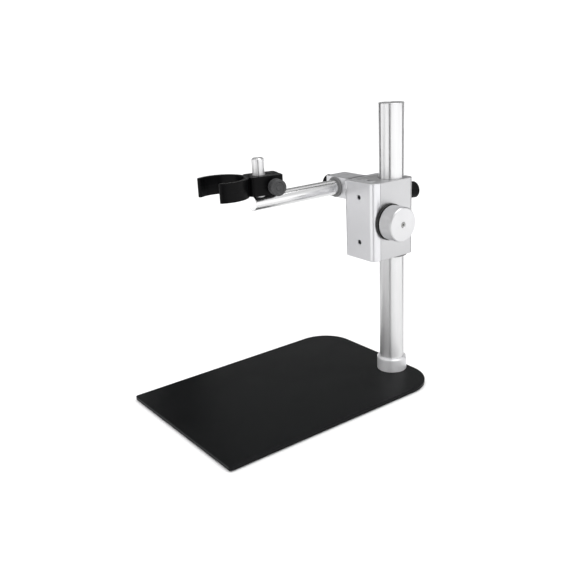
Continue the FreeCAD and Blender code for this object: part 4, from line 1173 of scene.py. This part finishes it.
# ---- stage -----------------------------------------------------------------------------------------
class STAND_OT_stage(bpy.types.Operator):
    """A pale floor, soft light all round with darker cards for the steel to reflect, and the camera."""

    bl_idname = "stand.stage"
    bl_label = "Stage"

    def execute(self, context):
        stage = context.scene.stand_stage
        context.scene.view_settings.view_transform = "Standard"
        self.floor(stage)
        self.world(stage)
        self.key_light()
        self.cards()
        self.camera(stage)
        return {"FINISHED"}

    def floor(self, stage):
        """A wide flat floor just under the feet."""
        half = 12.0
        corners = [(-half, -half, 0.0), (half, -half, 0.0), (half, half, 0.0), (-half, half, 0.0)]
        mesh = bpy.data.meshes.new("floor")
        mesh.from_pydata(corners, [], [(0, 1, 2, 3)])
        floor = bpy.data.objects.new("floor", mesh)
        bpy.context.scene.collection.objects.link(floor)
        paint = Finish("floor_paint", 0.0, 0.9, 0.0)
        paint.shader.inputs["Base Color"].default_value = (*stage.floor_colour, 1.0)
        mesh.materials.append(paint.material)

    def world(self, stage):
        """Studio light: white behind the part, even for matt surfaces, and for shiny ones a sky that is
        bright low down, darker above it and pale again overhead."""
        world = bpy.data.worlds.new("studio")
        world.use_nodes = True
        bpy.context.scene.world = world
        tree = world.node_tree
        background = tree.nodes["Background"]
        background.inputs["Color"].default_value = (1.0, 1.0, 1.0, 1.0)
        direction = add_node(tree, "ShaderNodeTexCoord").outputs["Generated"]
        split = add_node(tree, "ShaderNodeSeparateXYZ")
        tree.links.new(direction, split.inputs[0])
        ramp = add_node(tree, "ShaderNodeValToRGB")
        stops = ramp.color_ramp.elements
        for height, level in SKY:
            stop = stops[0] if height == 0.0 else stops[1] if height == 1.0 else stops.new(height)
            stop.color = (level, level, level, 1.0)
        tree.links.new(split.outputs["Z"], ramp.inputs["Fac"])
        rays = add_node(tree, "ShaderNodeLightPath")
        even = math_node(tree, "MAXIMUM", rays.outputs["Is Camera Ray"], rays.outputs["Is Diffuse Ray"])
        strength = add_node(tree, "ShaderNodeMix")
        tree.links.new(even, strength.inputs["Factor"])
        tree.links.new(ramp.outputs["Color"], strength.inputs["A"])
        strength.inputs["B"].default_value = stage.light
        value = [slot for slot in strength.outputs if slot.type == "VALUE"][0]
        tree.links.new(value, background.inputs["Strength"])

    def key_light(self):
        """One large soft light, high up on the camera's right, aimed at the middle of the stand."""
        place, target = Vector((0.45, 0.15, 1.3)), Vector((0.0, -0.1, 0.15))
        lamp = bpy.data.lights.new("key", "AREA")
        lamp.size = 0.8
        lamp.energy = 4.0
        light = bpy.data.objects.new("key", lamp)
        light.location = place
        light.rotation_euler = (target - place).to_track_quat("-Z", "Y").to_euler()
        bpy.context.scene.collection.objects.link(light)

    def cards(self):
        """Grey cards that only shiny parts see.  Upright ones: near the camera, at both sides, far behind
        and low down at the left.  A round one lies on the floor, for the low part of the post to reflect."""
        for name, heading, away, width, low, high, shade in (
                ("card_front", -59.0, 0.32, 0.085, 0.002, 1.6, 0.02),
                ("card_left", 193.0, 0.42, 0.20, 0.002, 1.6, 0.02),
                ("card_right", 80.0, 0.42, 0.17, 0.002, 1.6, 0.02),
                ("card_rear", 143.8, 1.60, 2.60, 0.16, 2.0, 0.22),
                ("card_side", 216.0, 0.38, 0.34, 0.002, 0.128, 0.46)):
            turn = math.radians(heading)
            out = np.array((math.cos(turn), math.sin(turn), 0.0))
            side = np.array((-out[1], out[0], 0.0)) * width / 2.0
            foot = out * away
            self.card(name, [foot - side + Z_AXIS * low, foot + side + Z_AXIS * low,
                             foot + side + Z_AXIS * high, foot - side + Z_AXIS * high], shade)
        disc = arc((0.0, 0.0), 0.42, 0.0, 360.0, 48)[:-1]
        self.card("card_ground", [(x, y, 0.0006) for x, y in disc], 0.64)

    def card(self, name, corners, shade):
        """One flat card of a given grey, hidden from the camera and casting no shadow."""
        mesh = bpy.data.meshes.new(name)
        mesh.from_pydata([tuple(corner) for corner in corners], [], [tuple(range(len(corners)))])
        card = bpy.data.objects.new(name, mesh)
        bpy.context.scene.collection.objects.link(card)
        paint = Finish(name, 0.0, 0.9, 0.0)
        paint.shader.inputs["Base Color"].default_value = (shade, shade, shade, 1.0)
        mesh.materials.append(paint.material)
        card.visible_camera = False
        card.visible_diffuse = False
        card.visible_shadow = False

    def camera(self, stage):
        """The camera from its place, heading, pitch and roll."""
        heading, pitch, roll = stage.camera_heading, stage.camera_pitch, stage.camera_roll
        right = np.array((math.cos(heading), math.sin(heading), 0.0))
        ahead = np.array((-math.sin(heading) * math.cos(pitch), math.cos(heading) * math.cos(pitch),
                          -math.sin(pitch)))
        up = np.cross(right, ahead)
        rolled_right = right * math.cos(roll) + up * math.sin(roll)
        rolled_up = up * math.cos(roll) - right * math.sin(roll)
        data = bpy.data.cameras.new("camera")
        data.lens = stage.camera_lens
        data.clip_start = 0.01
        data.clip_end = 50.0
        camera = bpy.data.objects.new("camera", data)
        camera.matrix_world = place_axes(stage.camera_place, rolled_right, rolled_up, -ahead)
        bpy.context.scene.collection.objects.link(camera)
        bpy.context.scene.camera = camera


class STAND_PT_panel(bpy.types.Panel):
    """Lists the stand's pieces and its values."""

    bl_idname = "STAND_PT_panel"
    bl_label = "Boom Stand"
    bl_space_type = "VIEW_3D"
    bl_region_type = "UI"
    bl_category = "Boom Stand"

    def draw(self, context):
        for step in STEPS:
            self.layout.operator(step.bl_idname)
        scene = context.scene
        for group in (scene.stand_shape, scene.stand_look, scene.stand_stage):
            box = self.layout.box()
            for name in group.bl_rna.properties.keys():
                if name not in ("rna_type", "name"):
                    box.prop(group, name)


STEPS = (STAND_OT_base, STAND_OT_post, STAND_OT_housing, STAND_OT_focus_knob, STAND_OT_carriage,
         STAND_OT_boom, STAND_OT_clip, STAND_OT_thumb_knobs, STAND_OT_inner_parts, STAND_OT_stage)
CLASSES = (StandShape, StandLook, StandStage) + STEPS + (STAND_PT_panel,)


def register():
    """Registers the classes and hangs their values on the scene."""
    for made in CLASSES:
        bpy.utils.register_class(made)
    bpy.types.Scene.stand_shape = PointerProperty(type=StandShape)
    bpy.types.Scene.stand_look = PointerProperty(type=StandLook)
    bpy.types.Scene.stand_stage = PointerProperty(type=StandStage)


def unregister():
    """Takes the values and classes away again."""
    del bpy.types.Scene.stand_shape
    del bpy.types.Scene.stand_look
    del bpy.types.Scene.stand_stage
    for made in reversed(CLASSES):
        bpy.utils.unregister_class(made)


def main():
    """Builds every piece and the stage."""
    register()
    for step in STEPS:
        group, name = step.bl_idname.split(".")
        getattr(getattr(bpy.ops, group), name)()


if __name__ == "__main__":
    main()
